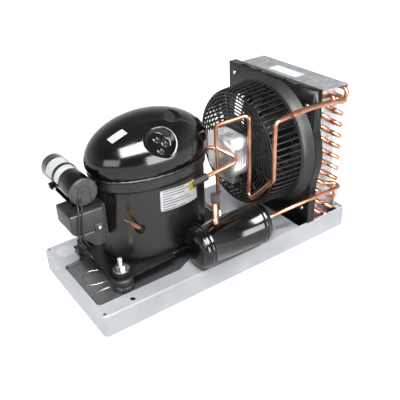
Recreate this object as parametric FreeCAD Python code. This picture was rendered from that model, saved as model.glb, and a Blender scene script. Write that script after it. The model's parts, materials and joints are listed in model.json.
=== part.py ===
import FreeCAD, Part
import math
import os

os.makedirs("parts", exist_ok=True)

# A small air-cooled condensing unit, in millimetres.
# X runs along the base from the compressor to the condenser, -Y is the front, Z is up.
# Places are given from the middle of the base; origin_shift then centres the whole on Y.
V = FreeCAD.Vector

# Base pan, pressed from sheet steel
base_length = 625.0
base_width = 275.0
base_height = 48.0
base_sheet = 1.5
base_corner = 10.0
base_fold = 3.0
base_hole_inset = 8.5
base_hole_r = 3.0
rivet_hole_r = 1.8
border_hole_r = 5.0
recess_depth = 6.0
recess_draft = 4.0
recess_corner = 9.0
recess_border = 8.5
well_left = 171.0
well_right = 290.0
well_lip = 4.0

# Compressor: welded oval shell on four rubber mounts
comp_x = -0.1776 * base_length
comp_y = 7.0
comp_half_length = 119.0
comp_oval = 0.664
comp_wall = 3.2
comp_bottom = 62.0
comp_bottom_r = 26.0
comp_crease = 224.0
comp_band_out = 4.5
comp_seam = 252.0
comp_bulge = 12.0
comp_bulge_z = 270.0
comp_apex = 349.5
weld_r = 2.6
pad_r = 29.0
pad_depth = 7.3
pad_place = (comp_x - 11.9, comp_y - 72.6, comp_apex - 38.3)
pad_facing = (0.149, -0.737, 0.658)
knob_r = 7.5
knob_height = 4.5
flat_r = 20.0
flat_depth = 2.6
flat_place = (comp_x + 36.0, comp_y - 27.0, comp_apex - 7.5)
flat_facing = (0.36, -0.42, 0.83)
foot_z = 70.0
foot_sheet = 4.0
foot_half_left = 77.0
foot_half_right = 58.0
foot_left = -125.0
foot_right = 125.0
foot_corner = 20.0
foot_gap = 4.0
stud_r = 4.75
stud_tip = 113.0
stud_gap = 0.4
grommet_r = 22.0
grommet_neck_r = 11.0
grommet_cap_r = 16.5
grommet_cap_height = 12.0
grommet_gap = 0.3
washer_r = 16.0
washer_sheet = 2.0
nut_flats = 15.0
nut_height = 8.0

# Motor and pump inside the compressor, on springs
pump_springs = 42.0
spring_r = 8.0
spring_wire = 2.5
stator_half = 54.0
stator_low = 92.0
stator_high = 142.0
stator_corner = 22.0
winding_r = 46.0
winding_height = 12.0
pump_rotor_r = 29.4
pump_air_gap = 0.6
crank_r = 8.0
crank_gap = 0.05
crank_throw = 9.0
crank_pin_r = 6.0
crank_web_r = 17.0
crank_web = 5.0
block_low = 156.0
block_plate = 12.0
block_half_x = 58.0
block_half_y = 50.0
block_post_r = 7.0
block_hub_top = 190.0
cylinder_z = 206.0
cylinder_near = 26.0
cylinder_far = 70.0
cylinder_wall = 6.0
piston_r = 15.0
piston_gap = 0.05
piston_length = 18.0
piston_top_gap = 0.5
valve_sheet = 3.0
head_depth = 11.0
head_half = 24.0

# Electrical box and start capacitor on the left end of the compressor
box_left = comp_x - 196.0
relay_left = comp_x - 175.0
relay_right = comp_x - 143.0
protector_x = comp_x - 137.0
box_front = -40.0
box_back = 25.0
box_top = 211.0
box_split = 166.0
box_bottom = 130.0
box_wall = 2.5
box_chamfer_x = 45.0
box_chamfer_z = 40.0
cap_x = comp_x - 154.6
cap_z = 242.0
cap_r = 26.0
cap_front = -20.0
cap_back = 118.0
cap_lid = 4.0
cap_strap_y = 57.0
cap_strap_width = 9.0
cap_strap_sheet = 0.8
cap_saddle_width = 40.0

# Receiver lying along the front edge
rec_y = -118.0
rec_r = 43.0
rec_left = -102.0
rec_right = 82.0
rec_dome = 15.0
rec_bead = 1.6
rec_foot_sheet = 2.0
rec_foot_width = 44.0
outlet_x = -43.6
outlet_r = 5.5
outlet_top = 183.0
hex_flats = 15.0
hex_height = 17.0

# Copper lines
line_r = 4.2
header_r = 5.75
bend_r = 10.0
line_y = -146.0

# Fan, motor, guard and shroud
fan_z = 208.0
fan_r = 125.0
fan_back = 180.0
fan_pitch_depth = 34.0
fan_blades = 5
hub_r = 38.0
hub_length = 36.0
blade_sheet = 1.6
shaft_r = 4.0
tip_gap = 6.0
plate_x = 192.5
plate_sheet = 3.0
shroud_depth = 19.5
shroud_width = 275.0
shroud_top = 352.0
shroud_foot = 8.0
collar_r = 149.5
throat_x = 180.0
guard_front_x = 97.0
guard_front_r = 127.0
guard_sheet = 4.0
guard_ribs = 64
guard_rib = 2.6
guard_rib_depth = 6.0
guard_band = 8.0
guard_rings = 6
guard_spokes = 12
guard_hub_r = 64.0
motor_front = 60.0
motor_half = 45.0
motor_corner = 20.0
motor_wall = 3.0
motor_bore_r = 40.0
rotor_r = 24.0
air_gap = 0.6
bearing_r = 11.0
bearing_width = 7.0
bearing_gap = 0.05

# Condenser: four rows of tube in a finned block
coil_left = 215.0
coil_right = 285.0
coil_half = 108.5
coil_bottom = 22.0
coil_top = 346.0
tube_pitch = 25.4
row_pitch = 19.0
row_stagger = 12.7
row_first = 221.5
level_first = 41.4
levels = 12
tube_r = 4.75
sheet_metal = 1.5
bend_leg = 9.0
fin_groove_pitch = 13.0
fin_groove = 3.0
top_sheet = 1.2
top_front = -133.6

# Everything moves back by this much, so that the origin is under the middle of the whole
origin_shift = -((rec_y - rec_r - rec_bead) + collar_r) / 2


def save(name, shape):
    """Write one node, in the frame of the whole object."""
    moved = shape.copy()
    moved.translate(V(0, origin_shift, 0))
    moved.exportStep("parts/" + name + ".step")


def block(x0, x1, y0, y1, z0, z1):
    return Part.makeBox(x1 - x0, y1 - y0, z1 - z0, V(x0, y0, z0))


def rod(p0, p1, radius):
    a = V(*p0)
    b = V(*p1)
    return Part.makeCylinder(radius, (b - a).Length, a, b - a)


def joined(shapes):
    return shapes[0].multiFuse(shapes[1:]).removeSplitter()


def group(shapes):
    return Part.makeCompound(shapes)


def turned(profile, center, axis):
    """Revolve (distance along the axis, radius) points about an axis along X, Y or Z."""
    along = {"x": V(1, 0, 0), "y": V(0, 1, 0), "z": V(0, 0, 1)}[axis]
    out = {"x": V(0, 0, 1), "y": V(0, 0, 1), "z": V(1, 0, 0)}[axis]
    points = [V(*center) + along * s + out * r for s, r in profile]
    face = Part.Face(Part.makePolygon(points + [points[0]]))
    return face.revolve(V(*center), along, 360)


def plate_outline(points, radius, z, height):
    """A flat plate of the given corners, each rounded, from z upwards."""
    face = Part.Face(Part.makePolygon([V(x, y, z) for x, y in points + [points[0]]]))
    solid = face.extrude(V(0, 0, height))
    corners = [e for e in solid.Edges if abs(e.tangentAt(e.FirstParameter).z) > 0.99]
    return solid.makeFillet(radius, corners)


def hexagon(center, flats, height):
    across = flats / math.sqrt(3)
    ring = [V(center[0] + across * math.cos(math.radians(60 * k)),
              center[1] + across * math.sin(math.radians(60 * k)), center[2]) for k in range(7)]
    return Part.Face(Part.makePolygon(ring)).extrude(V(0, 0, height))


def pipe(points, tube, radius):
    """Round tube along straight runs, with a tangent bend at each inner point."""
    pts = [V(*p) for p in points]
    pieces = []
    start = pts[0]
    for before, corner, after in zip(pts, pts[1:], pts[2:]):
        back = (before - corner).normalize()
        ahead = (after - corner).normalize()
        half = back.getAngle(ahead) / 2
        cut = min(radius / math.tan(half), 0.45 * (corner - before).Length, 0.45 * (after - corner).Length)
        first = corner + back * cut
        middle = (back + ahead).normalize()
        center = corner + middle * (cut / math.cos(half))
        ring = Part.Face(Part.Wire(Part.makeCircle(tube, first, back)))
        pieces.append(Part.makeCylinder(tube, (first - start).Length, start, first - start))
        pieces.append(ring.revolve(center, ahead.cross(back), 180 - math.degrees(2 * half)))
        start = corner + ahead * cut
    pieces.append(Part.makeCylinder(tube, (pts[-1] - start).Length, start, pts[-1] - start))
    return joined(pieces)


# Base pan

def recess_points(grow):
    mount_left, mount_front = foot_centres()[0]
    mount_back = foot_centres()[1][1]
    mount_right = foot_centres()[2][0]
    reach = grommet_r + recess_draft + 2
    left = -base_length / 2 + recess_border - grow
    front = mount_front - reach - grow
    step = mount_left - reach - grow
    right = mount_right + reach + grow
    back = mount_back + reach + grow
    inner = foot_centres()[3][1] - reach - grow
    return [(left, front), (-122 + grow, front), (-84 + grow, inner), (right, inner),
            (right, back), (step, back), (step, 58 + grow), (left, 53 + grow)]


def recess_pocket(grow, floor):
    """The pressed pocket under the compressor, narrower at its floor."""
    wires = []
    for z, inset in ((floor, recess_draft), (base_height + 0.01, 0.0)):
        flat = plate_outline(recess_points(grow - inset), recess_corner, z, 1.0)
        bottom = min(flat.Faces, key=lambda f: f.CenterOfMass.z)
        wires.append(bottom.OuterWire)
    return Part.makeLoft(wires, True, True)


def base_pan():
    half_l = base_length / 2
    half_w = base_width / 2
    outer = block(-half_l, half_l, -half_w, half_w, 0, base_height)
    uprights = [e for e in outer.Edges if abs(e.tangentAt(0).z) > 0.99]
    outer = outer.makeFillet(base_corner, uprights)
    top_edges = [e for e in outer.Edges if abs(e.CenterOfMass.z - base_height) < 0.01]
    outer = outer.makeFillet(base_fold, top_edges)
    t = base_sheet
    inner = block(-half_l + t, half_l - t, -half_w + t, half_w - t, -1, base_height - t)
    uprights = [e for e in inner.Edges if abs(e.tangentAt(0).z) > 0.99]
    inner = inner.makeFillet(base_corner - t, uprights)
    top_edges = [e for e in inner.Edges if abs(e.CenterOfMass.z - base_height + t) < 0.01]
    inner = inner.makeFillet(base_fold - t, top_edges)
    pan = outer.cut(inner.cut(recess_pocket(t, base_height - recess_depth - t)))
    pan = pan.cut(recess_pocket(0, base_height - recess_depth))
    well = block(well_left, well_right, -half_w + well_lip, half_w - well_lip,
                 base_height - 10, base_height + 1)
    holes = [rod((x, y, base_height - 10), (x, y, base_height + 1), r) for x, y, r in base_holes()]
    return pan.cut(group([well] + holes))


def base_holes():
    x = base_length / 2 - base_hole_inset
    y = base_width / 2 - base_hole_inset
    corners = [(sx * x, sy * y, base_hole_r) for sx in (-1, 1) for sy in (-1, 1)]
    rivets = [(129, -107, rivet_hole_r), (149, -120, rivet_hole_r), (-98, -125, rivet_hole_r)]
    return corners + rivets + [(-242, -122, border_hole_r), (127, 99, border_hole_r)]


# Compressor

def foot_centres():
    left = comp_x + foot_left
    right = comp_x + foot_right
    y = comp_y - 4
    return [(left, y - foot_half_left), (left, y + foot_half_left),
            (right, y + foot_half_right), (right, y - foot_half_right)]


def oval(solid):
    """Squeeze a round body across Y and put it over the compressor's middle."""
    squeeze = FreeCAD.Matrix()
    squeeze.A22 = comp_oval
    squeezed = solid.transformGeometry(squeeze)
    squeezed.translate(V(comp_x, comp_y, 0))
    return squeezed


def spun(edges):
    return Part.Face(Part.Wire(edges)).revolve(V(0, 0, 0), V(0, 0, 1), 360)


def line_xz(x0, z0, x1, z1):
    return Part.makeLine(V(x0, 0, z0), V(x1, 0, z1))


def lower_body(inset, top):
    a = comp_half_length - inset
    band = a + comp_band_out
    r = comp_bottom_r - inset
    bottom = comp_bottom + inset
    diagonal = r * (1 - math.sqrt(0.5))
    corner = Part.Arc(V(a - r, 0, bottom), V(a - diagonal, 0, bottom + diagonal), V(a, 0, bottom + r))
    return spun([line_xz(0, bottom, a - r, bottom), corner.toShape(),
                 line_xz(a, bottom + r, a, comp_crease),
                 line_xz(a, comp_crease, band, comp_crease + comp_band_out),
                 line_xz(band, comp_crease + comp_band_out, band, top),
                 line_xz(band, top, 0, top), line_xz(0, top, 0, bottom)])


def upper_body(inset, bottom):
    rim = comp_half_length + comp_band_out - inset
    wide = comp_half_length + comp_bulge - inset
    apex = comp_apex - inset
    dome = Part.Ellipse(V(wide, 0, comp_bulge_z), V(0, 0, apex), V(0, 0, comp_bulge_z))
    if wide < apex - comp_bulge_z:
        dome = Part.Ellipse(V(0, 0, apex), V(wide, 0, comp_bulge_z), V(0, 0, comp_bulge_z))
    side = dome.parameter(V(wide, 0, comp_bulge_z))
    crown = dome.parameter(V(0, 0, apex))
    curve = Part.Edge(dome, min(side, crown), max(side, crown))
    lean = Part.Arc(V(rim, 0, bottom), V(rim + 0.72 * (wide - rim), 0, (bottom + comp_bulge_z) / 2),
                    V(wide, 0, comp_bulge_z)).toShape()
    return spun([lean, curve, line_xz(0, apex, 0, bottom), line_xz(0, bottom, rim, bottom)])


def lower_shell():
    body = lower_body(0, comp_seam).cut(lower_body(comp_wall, comp_seam + 1))
    return oval(body)


def weld_bead():
    rim = comp_half_length + comp_band_out
    bead = turned([(comp_seam, rim), (comp_seam - weld_r, rim), (comp_seam - weld_r / 2, rim + weld_r),
                   (comp_seam, rim + weld_r)], (0, 0, 0), "z")
    return oval(bead)


def pressing(place, facing, radius, depth, wall):
    """The round tool that presses a level spot into the dome, set back by the wall inside."""
    ahead = V(*facing).normalize()
    return Part.makeCylinder(radius + wall, 80, V(*place) - ahead * (depth + wall), ahead)


def pressings(wall):
    return [pressing(pad_place, pad_facing, pad_r, pad_depth, wall),
            pressing(flat_place, flat_facing, flat_r, flat_depth, wall)]


def pad_knobs():
    """Three round knobs that stand on the pad."""
    ahead = V(*pad_facing).normalize()
    along = ahead.cross(V(0, 0, 1)).normalize()
    up = along.cross(ahead)
    foot = V(*pad_place) - ahead * (pad_depth + 1)
    knobs = []
    for x, y in ((-4.9, 12.7), (-17.1, -0.6), (-0.4, -10.0)):
        knob = Part.makeCylinder(knob_r, knob_height + 1, foot + along * x + up * y, ahead)
        top = max(knob.Faces, key=lambda f: f.CenterOfMass.dot(ahead))
        knobs.append(knob.makeFillet(knob_height / 2, top.Edges))
    return knobs


def upper_shell():
    outer = oval(upper_body(0, comp_seam)).cut(group(pressings(0)))
    inner = oval(upper_body(comp_wall, comp_seam - 1)).cut(group(pressings(comp_wall)))
    return joined([outer.cut(inner)] + pad_knobs())


def compressor_feet():
    points = foot_centres()
    middle_y = comp_y - 4
    grown = [(x + (foot_corner if x > comp_x else -foot_corner),
              y + (foot_corner if y > middle_y else -foot_corner)) for x, y in points]
    plate = plate_outline(grown, foot_corner, foot_z, foot_sheet)
    core = oval(lower_body(0, comp_seam))
    holes = [rod((x, y, foot_z - 1), (x, y, foot_z + foot_sheet + 1), grommet_neck_r + grommet_gap)
             for x, y in points]
    clear = rod((rec_left - 20, rec_y, rec_z()), (rec_right + 20, rec_y, rec_z()), rec_r + foot_gap)
    return plate.cut(group([core] + holes)).cut(clear)


def grommet(x, y):
    floor = base_height - recess_depth
    top = foot_z + foot_sheet
    r = grommet_r
    bore = stud_r + stud_gap
    groove = (floor + foot_z) / 2
    return turned([(floor, bore), (floor, r), (groove - 1.5, r), (groove, r - 1.5), (groove + 1.5, r),
                   (foot_z, r - 1), (foot_z, grommet_neck_r), (top, grommet_neck_r), (top, grommet_cap_r),
                   (top + grommet_cap_height - 1.5, grommet_cap_r),
                   (top + grommet_cap_height, grommet_cap_r - 1.5), (top + grommet_cap_height, bore)],
                  (x, y, 0), "z")


def stud(x, y):
    floor = base_height - recess_depth
    return turned([(floor, 0), (floor, stud_r), (stud_tip - 2, stud_r), (stud_tip, stud_r - 2),
                   (stud_tip, 0)], (x, y, 0), "z")


def washer(x, y):
    z = foot_z + foot_sheet + grommet_cap_height
    return turned([(z, stud_r + stud_gap), (z, washer_r), (z + washer_sheet, washer_r),
                   (z + washer_sheet, stud_r + stud_gap)], (x, y, 0), "z")


def mount_nut(x, y):
    z = foot_z + foot_sheet + grommet_cap_height + washer_sheet
    body = hexagon((x, y, z), nut_flats, nut_height)
    return body.cut(rod((x, y, z - 1), (x, y, z + nut_height + 1), stud_r))


def process_tube():
    """A short charging tube on a collar, pinched flat at its end."""
    root = V(-177, -58.4, 144.6)
    ahead = V(-38, -12, 42).normalize()
    collar = Part.makeCylinder(9, 8, root - ahead * 1.0, ahead)
    barrel = Part.makeCylinder(line_r, 34, root, ahead)
    neck = root + ahead * 34
    side = ahead.cross(V(0, 0, 1)).normalize()
    up = side.cross(ahead)
    ring = Part.Wire(Part.makeCircle(line_r, neck, ahead))
    tip = neck + ahead * 8
    flat = Part.Ellipse(tip + side * 6.4, tip + up * 1.3, tip).toShape()
    pinch = Part.makeLoft([ring, Part.Wire(flat)], True, False)
    blade = pinch_end(tip, ahead, side, up)
    shell = oval(lower_body(0, comp_seam))
    return joined([barrel, pinch, blade]).cut(shell), collar.cut(shell).cut(barrel)


def pinch_end(tip, ahead, side, up):
    oval_face = Part.Face(Part.Wire(Part.Ellipse(tip + side * 6.4, tip + up * 1.3, tip).toShape()))
    return oval_face.extrude(ahead * 12)


# Motor and pump inside the compressor

def pump_rod(x, y, z0, z1, radius):
    return rod((comp_x + x, comp_y + y, z0), (comp_x + x, comp_y + y, z1), radius)


def pump_block(x0, x1, half_y, z0, z1):
    return block(comp_x + x0, comp_x + x1, comp_y - half_y, comp_y + half_y, z0, z1)


def pump_corners():
    return [(sx * pump_springs, sy * pump_springs) for sx in (-1, 1) for sy in (-1, 1)]


def support_springs():
    """Four springs between the shell's floor and the stator's corners, drawn as closed coils."""
    floor = comp_bottom + comp_wall
    return group([pump_rod(x, y, floor, stator_low, spring_r).cut(
        pump_rod(x, y, floor - 1, stator_low + 1, spring_r - spring_wire)) for x, y in pump_corners()])


def compressor_stator():
    stack = pump_block(-stator_half, stator_half, stator_half, stator_low, stator_high)
    uprights = [e for e in stack.Edges if abs(e.tangentAt(0).z) > 0.99]
    stack = stack.makeFillet(stator_corner, uprights)
    return stack.cut(pump_rod(0, 0, stator_low - 1, stator_high + 1, pump_rotor_r + pump_air_gap))


def compressor_windings():
    """The coil ends that stand out above and below the stator."""
    bore = pump_rod(0, 0, 0, 400, pump_rotor_r + 3)
    return group([pump_rod(0, 0, z, z + winding_height, winding_r).cut(bore)
                  for z in (stator_low - winding_height, stator_high)])


def compressor_crankshaft():
    """Rotor, shaft, counterweight and crank pin, which turn as one."""
    web_top = block_hub_top + crank_web
    parts = [pump_rod(0, 0, stator_low - 2, stator_high + 2, pump_rotor_r),
             pump_rod(0, 0, stator_low - 8, block_hub_top + 0.3, crank_r),
             pump_rod(0, 0, block_hub_top + 0.3, web_top, crank_web_r),
             pump_rod(crank_throw, 0, web_top, cylinder_z + 11, crank_pin_r)]
    return joined(parts)


def cylinder_rod(x0, x1, radius):
    return rod((comp_x + x0, comp_y, cylinder_z), (comp_x + x1, comp_y, cylinder_z), radius)


def compressor_block():
    """Cast block: plate with the shaft's bearing, posts down to the stator, and the cylinder."""
    plate = pump_block(-block_half_x, block_half_x, block_half_y, block_low, block_low + block_plate)
    hub = pump_rod(0, 0, block_low, block_hub_top, 2 * crank_r)
    posts = [pump_rod(x, y, stator_high, block_low, block_post_r) for x, y in pump_corners()]
    barrel = cylinder_rod(cylinder_near, cylinder_far, piston_r + cylinder_wall)
    web = pump_block(cylinder_near, cylinder_far, piston_r, block_low + block_plate, cylinder_z)
    bores = [pump_rod(0, 0, block_low - 1, block_hub_top + 1, crank_r + crank_gap),
             cylinder_rod(cylinder_near - 1, cylinder_far + 1, piston_r)]
    return joined([plate, hub, barrel, web] + posts).cut(group(bores))


def compressor_piston():
    """At the middle of its stroke, which is twice the crank's throw."""
    top = cylinder_far - piston_top_gap - crank_throw
    return cylinder_rod(top - piston_length, top, piston_r - piston_gap)


def valve_plate():
    return pump_block(cylinder_far, cylinder_far + valve_sheet, head_half, cylinder_z - head_half,
                      cylinder_z + head_half)


def cylinder_head():
    x0 = cylinder_far + valve_sheet
    head = pump_block(x0, x0 + head_depth, head_half, cylinder_z - head_half, cylinder_z + head_half)
    edges = [e for e in head.Edges if abs(e.tangentAt(0).x) > 0.99]
    return head.makeFillet(5, edges)


# Electrical box and capacitor

def box_profile(inset):
    """The box seen from the front: a block with its lower left corner cut away."""
    right = comp_x - comp_half_length + 30
    left = box_left + inset
    low = box_bottom + inset
    step = inset * 0.6
    return [(left, box_top - inset), (left, box_bottom + box_chamfer_z + step),
            (box_left + box_chamfer_x + step, low), (right, low), (right, box_top - inset)]


def box_solid(inset, front, back):
    points = [V(x, front, z) for x, z in box_profile(inset)]
    return Part.Face(Part.makePolygon(points + [points[0]])).extrude(V(0, back - front, 0))


def box_shell():
    outer = box_solid(0, box_front, box_back)
    rounded = [e for e in outer.Edges if abs(e.tangentAt(0).y) > 0.99 and e.CenterOfMass.x < box_left + 60]
    outer = outer.makeFillet(4, rounded)
    hollow = outer.cut(box_solid(box_wall, box_front + box_wall, box_back - box_wall))
    return hollow.cut(oval(lower_body(0, comp_seam)))


def terminal_box_body():
    return box_shell().common(block(-400, 0, -200, 200, 0, box_split))


def terminal_box_cover():
    cover = box_shell().common(block(-400, 0, -200, 200, box_split, 400))
    boss = block(-238, -224, box_front - 2, box_front, box_split - 6, box_split + 16)
    boss = boss.cut(oval(lower_body(0, comp_seam)))
    cover = joined([cover, boss.common(block(-400, 0, -200, 200, box_split, 400))])
    return cover.cut(terminal_box_screw())


def terminal_box_screw():
    x = -231.0
    z = box_split + 8
    head = rod((x, box_front - 4.5, z), (x, box_front - 2, z), 3.6)
    shank = rod((x, box_front - 3, z), (x, box_front + 6, z), 1.8)
    return joined([head, shank])


def start_relay():
    return block(relay_left, relay_right, box_front + box_wall, box_front + 27, box_split - 6, box_split + 24)


def overload_protector():
    return rod((protector_x, 14, box_bottom + box_wall), (protector_x, 14, box_bottom + 30), 8)


def capacitor_can():
    r = cap_r
    return turned([(cap_front, 0), (cap_front, r), (cap_back - 3, r), (cap_back, r - 3), (cap_back, 0)],
                  (cap_x, 0, cap_z), "y")


def capacitor_lid():
    front = cap_front - cap_lid
    lid = turned([(front, 0), (front, cap_r - 1), (front + 1, cap_r + 0.8), (cap_front, cap_r + 0.8),
                  (cap_front, 0)], (cap_x, 0, cap_z), "y")
    ring = rod((cap_x, front - 2, cap_z), (cap_x, front, cap_z), 13).cut(
        rod((cap_x, front - 3, cap_z), (cap_x, front + 1, cap_z), 11))
    tail = block(cap_x - 13, cap_x + 13, front - 2, front, cap_z - cap_r + 3, cap_z)
    tail = tail.cut(block(cap_x - 11, cap_x + 11, front - 3, front + 1, cap_z - cap_r, cap_z + 1))
    arch = ring.cut(block(cap_x - 20, cap_x + 20, front - 3, front + 1, cap_z - 20, cap_z))
    button = rod((cap_x, front - 3, cap_z), (cap_x, front, cap_z), 4.5)
    return joined([lid, arch, tail, button])


def capacitor_bracket():
    """A saddle that carries the capacitor on top of the electrical box."""
    half = cap_saddle_width / 2
    base = block(cap_x - half, cap_x + half, -12, cap_strap_y + 16, box_top, box_top + 2)
    ribs = [block(cap_x - half, cap_x + half, y, y + 4, box_top, cap_z - 8) for y in (-2, cap_strap_y + 10)]
    can = rod((cap_x, -60, cap_z), (cap_x, 200, cap_z), cap_r)
    return joined([base] + ribs).cut(can)


def capacitor_strap():
    y0 = cap_strap_y - cap_strap_width / 2
    outer = cap_r + cap_strap_sheet
    band = turned([(y0, cap_r), (y0, outer), (y0 + cap_strap_width, outer), (y0 + cap_strap_width, cap_r)],
                  (cap_x, 0, cap_z), "y")
    foot = block(cap_x - 4, cap_x + 4, y0, y0 + cap_strap_width, box_top + 2, cap_z - cap_r)
    clip = block(cap_x - outer - 8, cap_x - outer + 2, y0, y0 + cap_strap_width, cap_z - 14, cap_z - 4)
    can = rod((cap_x, -60, cap_z), (cap_x, 200, cap_z), cap_r)
    return joined([band, foot, clip]).cut(can).cut(strap_screw())


def strap_screw():
    x = cap_x - cap_r - 5
    y = cap_strap_y
    return joined([rod((x, y, cap_z - 18), (x, y, cap_z - 14), 3.5), rod((x, y, cap_z - 16), (x, y, cap_z - 5), 1.6)])


# Receiver

def rec_z():
    return base_height + rec_foot_sheet + rec_r


def receiver_body():
    r = rec_r
    profile = [(rec_left, 0), (rec_left, 0.30 * r), (rec_left + 3, 0.62 * r), (rec_left + 7, 0.84 * r),
               (rec_left + rec_dome, r)]
    for s in (rec_left + rec_dome + 3, rec_left + rec_dome + 12):
        profile += [(s, r), (s + 1.5, r + rec_bead), (s + 3.5, r + rec_bead), (s + 5, r)]
    far = rec_right - rec_dome
    profile += [(far - 9, r), (far - 7.5, r + rec_bead), (far - 5.5, r + rec_bead), (far - 4, r), (far, r),
                (rec_right - 7, 0.84 * r), (rec_right - 3, 0.62 * r), (rec_right, 0.30 * r), (rec_right, 0)]
    return turned(profile, (0, rec_y, rec_z()), "x")


def receiver_bracket():
    """Two pressed saddles under the receiver, bolted to the base."""
    tank = receiver_body()
    feet = []
    for x in (rec_left + 42, rec_right - 62):
        half = rec_foot_width / 2
        foot = block(x, x + 34, rec_y - half + 8, rec_y + half - 4, base_height, base_height + rec_foot_sheet)
        webs = [block(x + 2 + k * 27, x + 5 + k * 27, rec_y - half + 8, rec_y + half - 4, base_height,
                      base_height + 11) for k in (0, 1)]
        feet.append(joined([foot] + webs).cut(tank))
    return group(feet)


def receiver_outlet():
    top = rec_z() + rec_r
    x = outlet_x
    body = turned([(top - 1.5, 0), (top - 1.5, outlet_r + 2), (top + 9, outlet_r + 2), (top + 11, outlet_r),
                   (outlet_top, outlet_r), (outlet_top, 0)], (x, rec_y, 0), "z")
    return body.cut(receiver_body())


def service_cap():
    return hexagon((outlet_x, rec_y, outlet_top), hex_flats, hex_height)


# Copper lines

def discharge_sleeve():
    sleeve = rod((-56, -59.5, 201.5), (-20, -59.6, 206), line_r + 3.5)
    return sleeve.cut(discharge_line()).cut(oval(lower_body(0, comp_seam)))


def discharge_line():
    points = [(-56, -59.5, 201.5), (66, -60, 216.7), (34, -20, 238), (34, -21, 288), (90, -60, 309),
              (91, -60, 188), (84, -64, 112), (84, line_y + 3, 196), (82, line_y, 322),
              (134, line_y - 1.6, 327)]
    return pipe(points, line_r, bend_r).cut(oval(lower_body(0, comp_seam)))


def inlet_header():
    start = (134, line_y - 1.6, 327)
    tube = rod(start, (288, -141, 331), header_r)
    swage = rod((126, line_y - 1.45, 326.3), start, line_r + 1.2)
    hook = pipe([(240.5, -142, 330), (240.5, -126, 330), (240.5, -coil_half - sheet_metal, 322)], line_r, 8)
    bore = rod((276, -141.4, 330.7), (290, -140.9, 331.1), header_r - 1.2)
    coil = block(coil_left, coil_right, -coil_half - sheet_metal, coil_half, coil_bottom, coil_top)
    return joined([tube, swage, hook]).cut(bore).cut(discharge_line()).cut(coil)


def suction_line():
    points = [(-14, 40, 205), (28, 22, 226), (50, 0, 226), (50, 0, 66), (50, 104, 66)]
    return pipe(points, line_r, bend_r).cut(oval(lower_body(0, comp_seam)))


def suction_valve():
    x = 50.0
    body = block(x - 9, x + 9, 104, 126, base_height, 76)
    stem = rod((x, 115, 76), (x, 115, 92), 6)
    flare = rod((x, 126, 66), (x, 137, 66), 7)
    return joined([body, stem, flare])


def liquid_line():
    z = 93.0
    slope = 0.8425
    run = line_y + 0.5
    points = [(rec_right - 13, rec_y - 8, z + 8 * slope), (118, rec_y - 13, z + 13 * slope),
              (182, run, z + (rec_y - run) * slope), (262, run, z + (rec_y - run) * slope),
              (row_x(3), run + 14, tube_z(3, 2) + 8), (row_x(3), -coil_half - sheet_metal, tube_z(3, 2))]
    return pipe(points, line_r, bend_r).cut(receiver_body()).cut(tube_sheet(-1))


# Fan shroud and guard

def disc_x(x0, x1, radius):
    return rod((x0, 0, fan_z), (x1, 0, fan_z), radius)


def fan_shroud():
    half = shroud_width / 2
    back = plate_x + shroud_depth
    t = plate_sheet
    outer = block(plate_x, back, -half, half, base_height, shroud_top).fuse(disc_x(plate_x, back, collar_r))
    outer = outer.common(block(0, 400, -300, 300, base_height, shroud_top))
    inner = block(plate_x + t, back + 1, -half + t, half - t, base_height - 1, shroud_top - t)
    inner = inner.fuse(disc_x(plate_x + t, back + 1, collar_r - t))
    inner = inner.common(block(0, 400, -300, 300, base_height - 1, shroud_top - t))
    lip = half - well_lip - 0.5
    apron = block(plate_x, plate_x + t, -lip, lip, shroud_foot, base_height)
    inlet = turned([(throat_x, fan_r + tip_gap), (throat_x, fan_r + tip_gap + t), (plate_x, collar_r - 1.5),
                    (plate_x + t, collar_r - 1.5), (plate_x + t, collar_r - 6)], (0, 0, fan_z), "x")
    hole = disc_x(plate_x - 1, plate_x + t + 1, collar_r - 4)
    tabs = [block(plate_x + 3, plate_x + 9, y - 8, y + 8, shroud_top, shroud_top + 2) for y in (-88, -34, 42, 92)]
    body = outer.cut(inner).cut(hole)
    return joined([body, apron, inlet] + tabs).cut(shroud_screws())


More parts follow.
